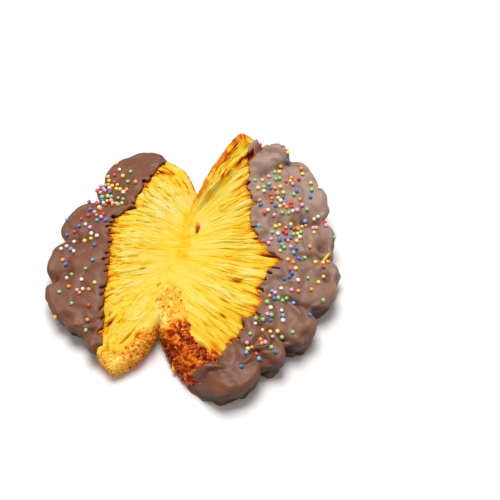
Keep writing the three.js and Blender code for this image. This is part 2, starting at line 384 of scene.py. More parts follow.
@dataclass(frozen=True)
class PuffPastry:
    """Laminated dough, baked: butter-yellow leaves that caramelise where sugar and edges catch the heat."""

    # From the pale crest of a leaf through butter yellow and orange to burnt dough.
    leaf: tuple[tuple[float, str], ...] = (
        (0.0, "FFEFA0"),
        (0.14, "FFE568"),
        (0.28, "FFDB34"),
        (0.42, "FBB80C"),
        (0.56, "F08E0C"),
        (0.7, "D2660C"),
        (0.84, "8E3008"),
        (1.0, "380C04"),
    )
    # From a clear sugar grain through caramel to burnt sugar.
    crust: tuple[tuple[float, str], ...] = (
        (0.0, "FFE292"),
        (0.2, "FFC648"),
        (0.38, "F79A22"),
        (0.56, "CE5C10"),
        (0.74, "8E2A0A"),
        (0.9, "520F05"),
        (1.0, "3A0805"),
    )
    white: float = 0.68  # share of the light that the palest crumb throws back
    sugar_white: float = 0.92  # and the palest sugar
    thread: float = 0.45  # width of the finest dough threads
    thread_length: float = 3.5
    thread_contrast: float = 0.1
    pore: float = 0.3  # size of the finest blisters
    pore_depth: float = 0.08
    gloss: tuple[float, float] = (0.6, 0.42)  # roughness of the dull crumb, and of buttery toasted parts
    light_share: float = 0.5  # of the light that goes into thick dough
    light_depth: float = 1.4
    sheen: float = 0.07

    def material(self) -> bpy.types.Material:
        """Make the material.

        Returns:
            Satin pastry whose colour follows how far each place is toasted.
        """
        material, tree = blank_material("baked_puff_pastry")
        toast = add(tree, "ShaderNodeAttribute", attribute_name="toast").outputs["Fac"]
        sugared = add(tree, "ShaderNodeAttribute", attribute_name="crust").outputs["Fac"]
        fan = add(tree, "ShaderNodeAttribute", attribute_name="fan").outputs["Vector"]
        stretch = (1 / self.thread, 1 / self.thread_length, 1.0)
        along = add(tree, "ShaderNodeVectorMath", {0: fan, 1: stretch}, operation="MULTIPLY")
        threads = add(tree, "ShaderNodeTexNoise", {"Vector": along.outputs[0], "Scale": 1.0, "Detail": 2.0})
        shade = add(tree, "ShaderNodeMapRange", {
            "Value": threads.outputs["Fac"], "From Min": 0.25, "From Max": 0.75,
            "To Min": -self.thread_contrast / 2, "To Max": self.thread_contrast / 2})
        total = add(tree, "ShaderNodeMath", {0: toast, 1: shade.outputs[0]},
                    operation="ADD", use_clamp=True)
        dough = ramp(tree, total.outputs[0], self.leaf, self.white).outputs["Color"]
        sugar = ramp(tree, total.outputs[0], self.crust, self.sugar_white).outputs["Color"]
        colour = add(tree, "ShaderNodeMix", {"Factor": sugared, 6: dough, 7: sugar}, data_type="RGBA")
        where = add(tree, "ShaderNodeTexCoord").outputs["Object"]
        pores = add(tree, "ShaderNodeTexNoise", {
            "Vector": where, "Scale": 1 / (self.pore * MM), "Detail": 3.0})
        relief = add(tree, "ShaderNodeBump", {
            "Height": pores.outputs["Fac"], "Distance": self.pore_depth * MM, "Strength": 0.5})
        # Butter and melted sugar give the toasted parts a soft gloss; the pale crumb stays dull.
        gloss = add(tree, "ShaderNodeMapRange", {
            "Value": toast, "From Min": 0.2, "From Max": 0.8,
            "To Min": self.gloss[0], "To Max": self.gloss[1]})
        # Light goes deep into thick dough only: thin leaves and sugar grains would lose their red to it.
        thick = add(tree, "ShaderNodeAttribute", attribute_name="thick").outputs["Fac"]
        depth = add(tree, "ShaderNodeMath", {0: thick, 1: self.light_share}, operation="MULTIPLY")
        surface = add(tree, "ShaderNodeBsdfPrincipled", {
            "Base Color": colour.outputs[2], "Roughness": gloss.outputs[0], "Normal": relief.outputs[0],
            "Subsurface Weight": depth.outputs[0], "Subsurface Radius": (1.0, 0.4, 0.12),
            "Subsurface Scale": self.light_depth * MM, "Specular IOR Level": self.sheen})
        add(tree, "ShaderNodeOutputMaterial", {"Surface": surface.outputs[0]})
        return material


@dataclass(frozen=True)
class MilkChocolate:
    """Milk chocolate, dipped and set: an opaque satin brown with a faintly mottled skin."""

    body: str = "6A3E29"
    cloud: str = "724730"
    painted_sheen: str = "967A6C"  # painted sheen, paler and greyer on the part that curls up, where the lamp's light catches it
    deep: str = "2A0F05"  # painted shade, in the hollows and on the walls that face sideways or down
    roughness: tuple[float, float] = (0.44, 0.56)
    mottle: float = 7.0  # size of the paler clouds
    ripple: float = 0.9  # size of the finest unevenness of the skin
    ripple_depth: float = 0.05
    light_share: float = 0.06
    light_depth: float = 0.6
    sheen: float = 0.4

    def material(self) -> bpy.types.Material:
        """Make the material.

        Returns:
            Satin chocolate.
        """
        material, tree = blank_material("set_milk_chocolate")
        where = add(tree, "ShaderNodeTexCoord").outputs["Object"]
        clouds = add(tree, "ShaderNodeTexNoise", {
            "Vector": where, "Scale": 1 / (self.mottle * MM), "Detail": 4.0}).outputs["Fac"]
        brown = ramp(tree, clouds, ((0.35, self.body), (0.65, self.cloud))).outputs["Color"]
        # Painted shade darkens the hollows and the walls, and a painted sheen pales the part that curls up.
        deep = add(tree, "ShaderNodeAttribute", attribute_name="deep").outputs["Fac"]
        painted_sheen = add(tree, "ShaderNodeAttribute", attribute_name="painted_sheen").outputs["Fac"]
        pale = add(tree, "ShaderNodeMix", {
            "Factor": painted_sheen, 6: brown, 7: linear(self.painted_sheen)}, data_type="RGBA")
        colour = add(tree, "ShaderNodeMix", {
            "Factor": deep, 6: pale.outputs[2], 7: linear(self.deep)}, data_type="RGBA")
        gloss = add(tree, "ShaderNodeMapRange", {
            "Value": clouds, "From Min": 0.35, "From Max": 0.65,
            "To Min": self.roughness[0], "To Max": self.roughness[1]})
        skin = add(tree, "ShaderNodeTexNoise", {
            "Vector": where, "Scale": 1 / (self.ripple * MM), "Detail": 2.0})
        relief = add(tree, "ShaderNodeBump", {
            "Height": skin.outputs["Fac"], "Distance": self.ripple_depth * MM, "Strength": 0.5})
        surface = add(tree, "ShaderNodeBsdfPrincipled", {
            "Base Color": colour.outputs[2], "Roughness": gloss.outputs[0], "Normal": relief.outputs[0],
            "Subsurface Weight": self.light_share, "Subsurface Radius": (1.0, 0.5, 0.3),
            "Subsurface Scale": self.light_depth * MM, "IOR": 1.46, "Specular IOR Level": self.sheen})
        add(tree, "ShaderNodeOutputMaterial", {"Surface": surface.outputs[0]})
        return material


class PearlColour(Enum):
    """Colours of the sugar pearls."""

    YELLOW = "F5D24A"
    ORANGE = "F29A22"
    RED = "D62A22"
    BLUE = "1A76C2"
    AQUA = "4BAEDC"
    GREEN = "84CC78"
    PINK = "EE9CC9"
    WHITE = "F8EADC"


@dataclass(frozen=True)
class PannedSugar:
    """Sugar pearls, panned in coloured syrup: a smooth waxed shell with a soft highlight."""

    colour: PearlColour
    dapple: float = 0.5  # size of the shell's unevenness

    def material(self) -> bpy.types.Material:
        """Make the material.

        Returns:
            Waxed sugar in the pearl's colour.
        """
        material, tree = blank_material(f"panned_sugar_{self.colour.name.lower()}")
        where = add(tree, "ShaderNodeTexCoord").outputs["Object"]
        uneven = add(tree, "ShaderNodeTexNoise", {
            "Vector": where, "Scale": 1 / (self.dapple * MM), "Detail": 1.0})
        shell = linear(self.colour.value)
        pale = add(tree, "ShaderNodeHueSaturation", {"Saturation": 0.9, "Value": 1.1, "Color": shell})
        colour = add(tree, "ShaderNodeMix", {
            "Factor": uneven.outputs["Fac"], 6: shell, 7: pale.outputs[0]}, data_type="RGBA")
        surface = add(tree, "ShaderNodeBsdfPrincipled", {
            "Base Color": colour.outputs[2], "Roughness": 0.34, "Subsurface Weight": 0.1,
            "Subsurface Scale": 0.4 * MM, "IOR": 1.5})
        add(tree, "ShaderNodeOutputMaterial", {"Surface": surface.outputs[0]})
        return material


@dataclass(frozen=True)
class MattePaper:
    """Smooth white paper, which throws the light back evenly and shows no edge."""

    colour: str = "E5E5E6"

    def material(self) -> bpy.types.Material:
        """Make the material.

        Returns:
            Matte white paper.
        """
        material, tree = blank_material("matte_white_paper")
        surface = add(tree, "ShaderNodeBsdfPrincipled", {
            "Base Color": linear(self.colour), "Roughness": 0.9, "Specular IOR Level": 0.2})
        add(tree, "ShaderNodeOutputMaterial", {"Surface": surface.outputs[0]})
        return material


# ---------------------------------------------------------------- the form of a wing
class Side(Enum):
    """The two wings."""

    LEFT = -1
    RIGHT = 1


@dataclass(frozen=True)
class Lobe:
    """End of a folded sheet: its angle in degrees, its reach, and the swell of the arc to the next."""

    angle: float
    reach: float
    swell: float


@dataclass(frozen=True)
class Scorch:
    """A patch of a wing that took more heat, by its middle and half widths in s and t."""

    s: float
    t: float
    wide: float
    long: float
    heat: float

    def at(self, s: Any, t: Any) -> Array:
        """The heat that it adds at s and t."""
        return self.heat * bump(s, self.s, self.wide) * bump(t, self.t, self.long)


@dataclass(frozen=True)
class Dent:
    """A hollow between sheets or in the chocolate: its middle in s and t, and its size in millimetres."""

    s: float
    t: float
    wide: float
    long: float
    deep: float

    def at(self, across: Any, out: Any) -> Array:
        """How much of it lies at places given in millimetres: 1 in its middle, 0 away from it."""
        wide = bump(across - self.s * SPAN, 0, self.wide / 2)
        return wide * bump(out - self.t * LENGTH, 0, self.long / 2)


@dataclass(frozen=True)
class Drift:
    """A patch of pearls: its middle and spread in s and t, and how many."""

    s: float
    t: float
    wide: float
    long: float
    count: int


def towards_curl(place: Array) -> Array:
    """How far places in plan lie from the waist centre towards where the wings curl up."""
    return place[..., 0] * math.cos(CURL_TURN) + place[..., 1] * math.sin(CURL_TURN)


@dataclass(frozen=True)
class Wing:
    """Form of one wing of the cookie, the same as the solid that it stands for."""

    side: Side
    seed: int  # start of its random draws
    waist_front: tuple[float, float]  # where its front edge starts
    waist_back: tuple[float, float]  # and its back edge
    bow_front: float  # how far its front edge bows out, in millimetres
    bow_back: float  # and its back edge
    lean: float  # how far its front face leans back
    rim_drop: float  # how much thinner it gets towards the rim
    curl: float  # how high its back is curled up
    back_sheet: float  # how much thicker the sheets at its back are
    lump: float  # how lumpy its chocolate is
    shingle: float  # and how high each lobe stands over the next
    crust_from: float  # where along t the sugared crust of the front starts
    crust_line: Pairs  # and where along s it ends, as pairs of t and s
    crust_proud: float  # how far the crust stands out
    crust_heat: float  # how much of it is toasted darker, out towards the rim
    plates: float  # how far the front's leaves are joined into broad plates
    stretch: float  # how much longer than wide its leaves are pulled
    undercut: float  # how much further in the foot of the dipped rim lies than its top
    lobes: tuple[Lobe, ...]
    dip: Pairs  # where the chocolate starts, as pairs of s and t
    scorches: tuple[Scorch, ...]
    slits: tuple[Dent, ...]  # between the sheets
    pits: tuple[Dent, ...]  # in the chocolate
    drifts: tuple[Drift, ...]

    @property
    def name(self) -> str:
        """Name of the side."""
        return self.side.name.lower()

    def turn(self, s: Any) -> Any:
        """Angle of the fan at s, in degrees."""
        return mix(self.lobes[0].angle, self.lobes[-1].angle, (s + 1) / 2)

    def valleys(self, turn: Any, width: float) -> Array:
        """1 in the valleys between its lobes and 0 away from them, for a width in degrees."""
        return np.max([bump(turn, lobe.angle, width) for lobe in self.lobes[1:-1]], axis=0)

    def reach(self, turn: Any) -> Array:
        """Distance of the rim from the waist centre.

        Args:
            turn: Angles in degrees.

        Returns:
            Distances in millimetres.
        """
        way = math.copysign(1, self.lobes[1].angle - self.lobes[0].angle)
        far = np.zeros(np.shape(turn))
        for k, (one, two) in enumerate(zip(self.lobes, self.lobes[1:])):
            u = (turn - one.angle) / (two.angle - one.angle)
            arc = mix(one.reach, two.reach, u) + one.swell * (1 - np.abs(2 * u - 1) ** 2.6)
            far = np.where((turn - one.angle) * way >= 0 if k else True, arc, far)
        return far

    def plan(self, s: Any, t: Any, grow: Any = 0.0) -> Array:
        """Place in plan, with the outline grown.

        Args:
            s: Places round the fan.
            t: Places out along a sheet.
            grow: Millimetres that the outline grows by.

        Returns:
            Places in millimetres about the waist, with x and y last.
        """
        s, t, grow = (np.asarray(v, float) for v in np.broadcast_arrays(s, t, grow))
        turn = self.turn(s)
        rim = (self.reach(turn) + grow)[..., None]
        end = rim * np.stack([np.cos(np.radians(turn)), np.sin(np.radians(turn))], -1)
        start = mix(np.array(self.waist_front), np.array(self.waist_back), ((s + 1) / 2)[..., None])
        out = end - start
        across = np.stack([-out[..., 1], out[..., 0]], -1) * self.side.value
        across /= np.linalg.norm(across, axis=-1, keepdims=True)
        # The side edges bow out quickly from the waist and gently towards the rim.
        arc = 4 * t * (1 - t)
        fullness = np.where((t > 0) & (t < 1), np.abs(arc) ** np.where(t < 0.5, 0.5, 0.8), arc)
        bow = np.where(s < 0, -self.bow_front, self.bow_back) * s * s * fullness
        side = grow * np.sign(s) * np.abs(s) ** 6
        return start + out * t[..., None] + across * (bow + side)[..., None]

    def leaned(self, s: Any, t: Any, h: Any) -> Any:
        """Where s has moved to at height h, because the front face leans back."""
        return s + self.lean * clamp01(t) * h * ((1 - s) / 2) ** 5

    def rise(self, place: Array) -> Array:
        """How far the wing has curled up off the table at places in plan."""
        return self.curl * clamp01((towards_curl(place) - CURL_FROM) / CURL_RUN) ** 2

    def thickness(self, s: Any, t: Any) -> Array:
        """Thickness of the smooth pastry.

        Args:
            s: Places round the fan.
            t: Places out along a sheet.

        Returns:
            Millimetres from the underside to the top.
        """
        valley = self.valleys(self.turn(s), 3.5)
        swell = (WING_THICK - WAIST_THICK) * smooth(t / 0.4)
        back_sheet = self.back_sheet * smooth((s - 0.8) / 0.1) * smooth(t / 0.35)
        thin = self.rim_drop * smooth((t - 0.55) / 0.45) + 0.8 * np.abs(s) ** 8
        return WAIST_THICK + swell + back_sheet - thin - 1.1 * valley * smooth((t - 0.4) / 0.6)

    def tucked(self, h: Any) -> Any:
        """How far the dipped rim is drawn in at height h, because its foot lies further in than its top."""
        return self.undercut * (1 - clamp01(h)) ** 1.3

    def dip_line(self, s: Any) -> Array:
        """Where along t the chocolate starts."""
        return follow(self.dip, s)

    def crust_edge(self, t: Any) -> Array:
        """Where along s the sugared crust of the front ends."""
        return follow(self.crust_line, t)

    def surface(self, s: Any, t: Any, h: Any, grow: float, inset: Any, lift: Any) -> Array:
        """Point of the wing's skin.

        Args:
            s: Places round the fan.
            t: Places out along a sheet.
            h: Heights, 0 at the underside and 1 on top.
            grow: Millimetres of coat over the pastry.
            inset: Millimetres that the wall is drawn in by here.
            lift: Millimetres added to the top.

        Returns:
            Points in millimetres about the waist.
        """
        drawn_in = mix(-WAIST_MEET, inset, smooth(t / 0.35))
        place = self.plan(self.leaned(s, t, h), t, grow - drawn_in)
        height = self.thickness(s, t) + 2 * grow + lift
        lap = LAP_RISE * smooth(-t / 0.05) * (1 - h)
        z = UNDERSIDE - grow + self.rise(place) + h * height + lap
        return np.concatenate([place, z[..., None]], -1)


@dataclass
class Skin:
    """Closed skin of a wing: its points, its triangles, and the s, t and h of each point."""

    points: Array
    faces: Array
    s: Array
    t: Array
    h: Array

    @property
    def normals(self) -> Array:
        """Which way the skin faces at each point."""
        return vertex_normals(self.points, self.faces)


@dataclass(frozen=True)
class Weave:
    """How finely a wing's skin is meshed."""

    round: int  # steps round the fan, a multiple of COARSER
    out: int  # steps out along a sheet, a multiple of COARSER
    shoulder: int  # rings round the shoulder of the wall
    wall: int  # rings down the rest of it

    COARSER = 4  # steps of the skin for one of the underside's
    HEEL = 1.5  # how far the underside starts inside the foot of the wall

    def skin(self, wing: Wing, grow: float, t: Array, lift: Array, inset: Callable[..., Array]) -> Skin:
        """Mesh a wing's skin: a fine top, rings down the walls and a coarser underside.

        Args:
            wing: Form of the wing.
            grow: Millimetres of coat over the pastry.
            t: The t of each point of the top's grid.
            lift: Millimetres added to the top at each of them.
            inset: Function of s, t and h that gives how far the wall is drawn in.

        Returns:
            The closed skin.
        """
        s = self.grid()
        index = np.arange(s.size).reshape(s.shape)
        sheets = [(s.ravel(), t.ravel(), np.ones(s.size))]
        points = [wing.surface(s, t, 1.0, grow, inset(s, t, 1.0), lift).reshape(-1, 3)]
        faces = [self.quads(index)]

        ring, count = self.edge(index), s.size
        edge_s, edge_t, edge_lift = (grid.ravel()[ring] for grid in (s, t, lift))
        for h in self.heights():
            sheets.append((edge_s, edge_t, np.full(len(ring), h)))
            points.append(wing.surface(edge_s, edge_t, h, grow, inset(edge_s, edge_t, h), edge_lift))
            below = count + np.arange(len(ring))
            nearer, further = np.roll(ring, -1), np.roll(below, -1)
            faces += [np.stack([ring, below, further], 1), np.stack([ring, further, nearer], 1)]
            ring, count = below, count + len(ring)

        under_s, under_t = (grid[::self.COARSER, ::self.COARSER] for grid in (s, t))
        under_inset = inset(under_s, under_t, 0.0) + self.HEEL
        sheets.append((under_s.ravel(), under_t.ravel(), np.zeros(under_s.size)))
        points.append(wing.surface(under_s, under_t, 0.0, grow, under_inset, 0.0).reshape(-1, 3))
        under = count + np.arange(under_s.size).reshape(under_s.shape)
        faces += [self.quads(under)[:, ::-1], *self.stitches(ring, self.edge(under))]

        triangles = np.concatenate(faces)
        if wing.side is Side.RIGHT:
            triangles = triangles[:, ::-1]
        return Skin(np.concatenate(points), triangles, *(np.concatenate(column) for column in zip(*sheets)))

    def grid(self) -> Array:
        """The s of each point of the top's grid."""
        return np.repeat(np.linspace(-1, 1, self.round + 1)[:, None], self.out + 1, 1)

    def stitches(self, ring: Array, below: Array) -> list[Array]:
        """Join the foot of the wall to the underside, which has fewer points round it.

        Args:
            ring: Indices round the foot.
            below: Indices round the underside, one for each COARSER of them.

        Returns:
            Triangles.
        """
        a = [np.roll(ring, -k)[::self.COARSER] for k in range(self.COARSER + 1)]
        b, c = below, np.roll(below, -1)
        return [np.stack(corners, 1) for corners in (
            (a[0], b, a[1]), (a[1], b, a[2]), (a[2], b, c), (a[2], c, a[3]), (a[3], c, a[4]))]

    def heights(self) -> list[float]:
        """Space the wall's rings, closer together round the shoulder.

        Returns:
            The height of each, from the top down.
        """
        turns = [math.pi / 2 * k / self.shoulder for k in range(1, self.shoulder)]
        shoulder = [ROUND_FROM + (1 - ROUND_FROM) * math.cos(turn) for turn in turns]
        return shoulder + [ROUND_FROM * (1 - k / self.wall) for k in range(self.wall + 1)]

    @staticmethod
    def edge(index: Array) -> Array:
        """Indices of a grid's border, once round."""
        return np.concatenate([index[:-1, 0], index[-1, :-1], index[:0:-1, -1], index[0, :0:-1]])

    @staticmethod
    def quads(index: Array) -> Array:
        """Fill a grid with two triangles for each square, with the diagonals turned about.

        Args:
            index: Indices of the grid's points.

        Returns:
            The triangles.
        """
        a, b, c, d = index[:-1, :-1], index[1:, :-1], index[1:, 1:], index[:-1, 1:]
        odd = ((np.indices(a.shape).sum(0) % 2) == 1)[..., None]
        one = np.where(odd, np.stack([a, b, c], -1), np.stack([a, b, d], -1))
        two = np.where(odd, np.stack([a, c, d], -1), np.stack([b, c, d], -1))
        return np.concatenate([one.reshape(-1, 3), two.reshape(-1, 3)])


def rounded_wall(h: Any) -> Any:
    """How far a plain wall is drawn in, with a round shoulder and a slightly tucked foot.

    Args:
        h: Heights on the wall.

    Returns:
        Millimetres.
    """
    shoulder = clamp01((h - ROUND_FROM) / (1 - ROUND_FROM))
    foot = clamp01((ROUND_FROM - h) / ROUND_FROM)
    return 0.1 + (EDGE_ROUND - 0.1) * (1 - np.sqrt(1 - shoulder ** 2)) + FOOT_ROUND * foot ** 2


# ---------------------------------------------------------------- pastry
def fan_place(wing: Wing, s: Any, t: Any) -> tuple[Array, Array]:
    """Turn s and t into millimetres across the sheets and out along them, with the sheets' own wander."""
    grain = Grain(wing.seed)
    return s * SPAN + 1.3 * grain.at(s * 3, t * 3, 0.5) + 0.35 * grain.at(s * 11, t * 8, 1.5), t * LENGTH


@dataclass(frozen=True)
class WaistFold:
    """The low fold of dough along the waist, where the two fans were pressed together."""

    route: Pairs = ((-8.0, -1.2), (2.0, -0.3), (13.4, 0.8), (23.0, 1.7))  # its middle, as pairs of y and x
    width: float = 4.6
    height: float = 0.45
    toast: float = 0.19

    def over(self, points: Array) -> Array:
        """Find the fold.

        Args:
            points: Places about the waist.

        Returns:
            1 on the fold and 0 away from it, with soft edges and softer ends.
        """
        grain = Grain(71)
        x, y = points[:, 0], points[:, 1]
        middle = follow(self.route, y)
        wide = self.width / 2 * (1 + 0.2 * grain.at(y / 7, 0.5))
        across = np.exp(-np.abs((x - middle) / wide) ** 5)
        ends = smooth((y - self.route[0][0]) / 9) * smooth((self.route[-1][0] - y) / 4)
        return across * ends * (1 + 0.3 * grain.at(x / 0.8, y / 9, 1.5)) * (points[:, 2] > UNDERSIDE + 4)


@dataclass
class BakedWing:
    """A finished wing of pastry: the piece, its skin, and how much crust and toasting each point has."""

    piece: bpy.types.Object
    skin: Skin
    crust: Array
    toast: Array


@dataclass(frozen=True)
class PastryWing:
    """One wing of bare pastry: sheets on edge that fan out from the waist, with a crust at the front.

    Sizes in pairs are millimetres across the sheets and out along them. Toasting goes from 0 (pale) to 1
    (burnt).
    """

    wing: Wing
    weave: Weave = Weave(round=520, out=108, shoulder=6, wall=16)
    fold: WaistFold = WaistFold()
    sheet: tuple[float, float] = (2.4, 13.0)  # a stretch of a sheet
    sheet_depth: float = 0.55
    plate: tuple[float, float] = (6.0, 17.0)  # a broad plate at the front
    leaf: tuple[float, float] = (0.95, 4.5)  # a leaf within a sheet
    leaf_depth: float = 0.24
    bend: tuple[float, float] = (3.0, 5.0)  # how the leaves wander
    split: tuple[float, float] = (3.5, 5.0)  # where they split further apart, or less
    thread: tuple[float, float] = (0.7, 5.0)  # fine threads of dough
    thread_depth: float = 0.1
    strand: tuple[float, float] = (0.6, 7.0)  # browned threads that tore open
    strand_depth: float = 0.16
    stroke: tuple[float, float] = (1.0, 6.0)  # browned edges of leaves
    patch: tuple[float, float] = (5.0, 9.0)  # uneven baking
    fleck: tuple[float, float] = (1.6, 8.0)
    tooth: tuple[float, float] = (1.2, 2.0)  # the browned line along the chocolate
    grain: float = 0.9  # size of the sugar grains baked into the crust
    grain_depth: float = 0.3
    ridge: float = 0.75  # height of the folded edges at the back of a curled wing
    hidden_drop: float = 3.0  # how much lower the pastry lies under the chocolate
    hidden_inset: float = 2.2  # and how much further in
    dough: float = 0.17  # toasting of plain dough
    crust_toast: float = 0.15  # and of plain crust
    back_toast: float = 0.56  # and of the back face
    floor_toast: float = 0.62  # and of the underside
    slit_toast: float = 0.32  # more in a slit between sheets
    hollow_toast_and_shade: float = 0.18  # more in the hollows between the leaves: partly browning, partly painted shade
    crest_highlight: float = 0.08  # and less on their crests: a painted highlight
    hollow_rounds: int = 50  # how far round a point its hollow is judged by

    def rows(self) -> Array:
        """Lay out the rows of the mesh, close together where the pastry is bare.

        Returns:
            The t of each point of the top's grid.
        """
        s = np.linspace(-1, 1, self.weave.round + 1)[:, None]
        bare_to = np.minimum(self.wing.dip_line(s) + 0.1, 1.0)
        fine = self.weave.out - 10
        k = np.arange(self.weave.out + 1)[None, :]
        inner = mix(-WAIST_LAP, bare_to, np.minimum(k / fine, 1.0))
        return mix(inner, 1.0, clamp01((k - fine) / (self.weave.out - fine)))

    def leaves(self, grain: Grain, s: Array, across: Array, out: Array) -> tuple[Array, Array]:
        """Break each sheet into leaves that lie at their own heights, with seams between them.

        Args:
            grain: The wing's noise.
            s: Places round the fan.
            across: Millimetres across the sheets.
            out: Millimetres out along them.

        Returns:
            Millimetres of relief and toasting, where the leaves have fully opened.
        """
        plates = self.wing.plates * smooth((-s - 0.5) / 0.2)
        bent = across + 0.5 * grain.streaks(across, out, self.bend, 31.5)
        pulled = out / self.wing.stretch
        edge, own, along = grain.leaf(bent / self.sheet[0], pulled / self.sheet[1])
        wide_edge, wide_own, wide_along = grain.leaf(bent / self.plate[0], out / self.plate[1], 5)
        fine_edge, fine_own, fine_along = grain.leaf(bent / self.leaf[0], pulled / self.leaf[1], 3)
        edge = mix(edge, 2.5 * wide_edge, plates)
        own = mix(own, wide_own, plates)
        along = mix(along, wide_along, plates)
        apart = 0.4 + 0.6 * smooth((grain.streaks(across, out, self.split, 51.5) + 0.4) / 0.6)
        whole = 1 - 0.4 * plates  # the broad plates have fewer leaves in them
        seam = (1 - smooth(edge / 0.3)) * apart
        crack = (1 - smooth(fine_edge / 0.35)) * whole * apart
        sheets = (0.7 * own + 0.6 * along) * (1 - seam) - 0.8 * seam
        fine = (fine_own + 0.6 * fine_along) * (1 - crack) * whole - 0.8 * crack
        # Seams and cracks are toasted darker: partly browning, partly painted shade in them.
        toast = 0.12 * seam + 0.08 * crack - 0.07 * (own + fine_own)
        return self.sheet_depth * sheets + self.leaf_depth * fine, toast

    def browning(self, grain: Grain, s: Array, t: Array) -> Array:
        """Toast the dough where it took more heat, in scorched patches and along the chocolate, and more
        under it, partly as painted shade.

        Args:
            grain: The wing's noise.
            s: Places round the fan.
            t: Places out along a sheet.

        Returns:
            Toasting to add.
        """
        across, out = fan_place(self.wing, s, t)
        short = self.wing.dip_line(s) - t
        heat = 0.18 * smooth(1 - short / 0.13) + sum(scorch.at(s, t) for scorch in self.wing.scorches)
        strokes = smooth((grain.streaks(across, out, self.stroke, 19.5) - 0.42 + 0.85 * heat) / 0.35)
        teeth = 0.5 + 0.6 * grain.streaks(across, out, self.tooth, 23.5)
        edge = bump(np.maximum(short, 0) * LENGTH, 0, 0.8) * teeth
        # Under the chocolate, where its clefts show the dough, it is darker still: partly browning, partly
        # painted shade in the clefts.
        return strokes * (0.09 + 0.55 * heat) + 0.33 * heat + 0.25 * edge + 0.24 * smooth(-short / 0.02)

    def flakes(self, s: Array, t: Array) -> tuple[Array, Array]:
        """Work out the relief of the sheets and how toasted it leaves them.

        Args:
            s: Places round the fan.
            t: Places out along a sheet.

        Returns:
            Millimetres added to the smooth top, and toasting.
        """
        grain, wing = Grain(self.wing.seed), self.wing
        across, out = fan_place(wing, s, t)
        short = wing.dip_line(s) - t  # how far the chocolate still is
        bare = 1 - smooth((-short - 0.07) / 0.04)
        opening = smooth((t - 0.06) / 0.3) * bare * (0.6 + 0.4 * smooth(1 - short / 0.35))
        lift, toast = (opening * part for part in self.leaves(grain, s, across, out))
        threads = grain.streaks(across, out, self.thread, 7.5)
        strands = smooth((grain.streaks(across, out, self.strand, 43.5) - 0.3) / 0.25) * bare
        lift = lift + self.thread_depth * threads * bare
        lift = lift - self.strand_depth * strands * (0.3 + 0.7 * opening)
        toast = toast + self.dough - 0.05 * threads + strands * (0.06 + 0.13 * opening)
        toast = toast + 0.08 * grain.streaks(across, out, self.patch, 17.5)
        toast = toast + 0.05 * grain.streaks(across, out, self.fleck, 41.5)
        # A little more toasting by the waist; paler towards the back of the fan, as painted light on the
        # curled back that the lamp reaches less.
        toast = toast + 0.03 * (1 - smooth(t / 0.2)) - 0.05 * smooth((s - 0.1) / 0.5)
        for slit in wing.slits:
            cut = slit.at(across, out)
            lift = lift - slit.deep * cut
            toast = toast + self.slit_toast * cut
        if wing.curl:
            ridges = bump(s, 0.97, 0.028) + 0.8 * bump(s, 0.885, 0.022) - 0.2 * bump(s, 0.928, 0.02)
            lift = lift + self.ridge * ridges * smooth(t / 0.4)
        return lift, toast + self.browning(grain, s, t)

    def crust(self, skin: Skin) -> Array:
        """How much sugared crust lies at each point: on the front and back faces, and over their edge.

        Args:
            skin: Skin of the wing.

        Returns:
            0 on bare leaves to 1 on crust.
        """
        grain = Grain(self.wing.seed + 30)
        ragged = 0.035 * grain.around(skin.points, 4.0) + 0.02 * grain.around(skin.points, 1.5, 3.0)
        started = smooth((skin.t + ragged - self.wing.crust_from) / 0.04)
        wall = smooth((1 - skin.h) / 0.12) * np.where(skin.s < 0, started, skin.t > 0.02)
        spill = smooth((self.wing.crust_edge(skin.t) + ragged - skin.s) / 0.025) * started
        bare = 1 - smooth((skin.t - self.wing.dip_line(skin.s) - 0.04) / 0.03)
        return np.maximum(wall * (np.abs(skin.s) > 0.7), spill) * bare

    def baked(self, skin: Skin, crust: Array) -> Array:
        """How toasted the crust is.

        Args:
            skin: Skin of the wing.
            crust: How much crust lies at each point.

        Returns:
            Toasting of the crust at each point.
        """
        grain = Grain(self.wing.seed + 40)
        speckle = 0.2 * np.tanh(2.5 * grain.around(skin.points, 1.2))
        speckle = speckle + 0.12 * grain.around(skin.points, 3.2, 7.0)
        far = smooth((skin.t - 0.36) / 0.1) * smooth((0.98 - skin.t) / 0.12)
        heat = self.crust_toast + self.wing.crust_heat * (0.12 + 0.88 * far) + 0.12 * (1 - skin.h)
        heat = heat + 0.3 * smooth((skin.t - self.wing.dip_line(skin.s)) / 0.04)
        layers = grain.at(skin.h * 7, skin.t * 9, skin.s * 4)
        heat = np.where(skin.s > 0, self.back_toast + 0.14 * layers, heat)
        speckle = speckle * np.where(skin.s > 0, 0.5, 0.7 + 0.3 * far)
        under = smooth((0.04 - skin.h) / 0.03) * (crust < 0.5)
        return mix(np.maximum(heat + speckle, 0.1), self.floor_toast + speckle, under)

    def shaped(self) -> Skin:
        """Shape the wing, with its sheets but without its crust.

        Returns:
            The skin, lower and further in where the chocolate hides it.
        """
        s, t = self.weave.grid(), self.rows()
        lift, _ = self.flakes(s, t)
        lift = lift * mix(1.0, 0.3, smooth((self.wing.crust_edge(t) - s) / 0.03))
        hidden = smooth((t - self.wing.dip_line(s) - 0.08) / 0.05)

        def inset(places: Any, out: Any, h: Any) -> Array:
            """Draw the rim in under the chocolate, more than where the wall is bare."""
            hidden = smooth((out - self.wing.dip_line(places)) / 0.05)
            return rounded_wall(h) + (self.hidden_inset + self.wing.tucked(h)) * hidden

        return self.weave.skin(self.wing, 0.0, t, lift - self.hidden_drop * hidden, inset)

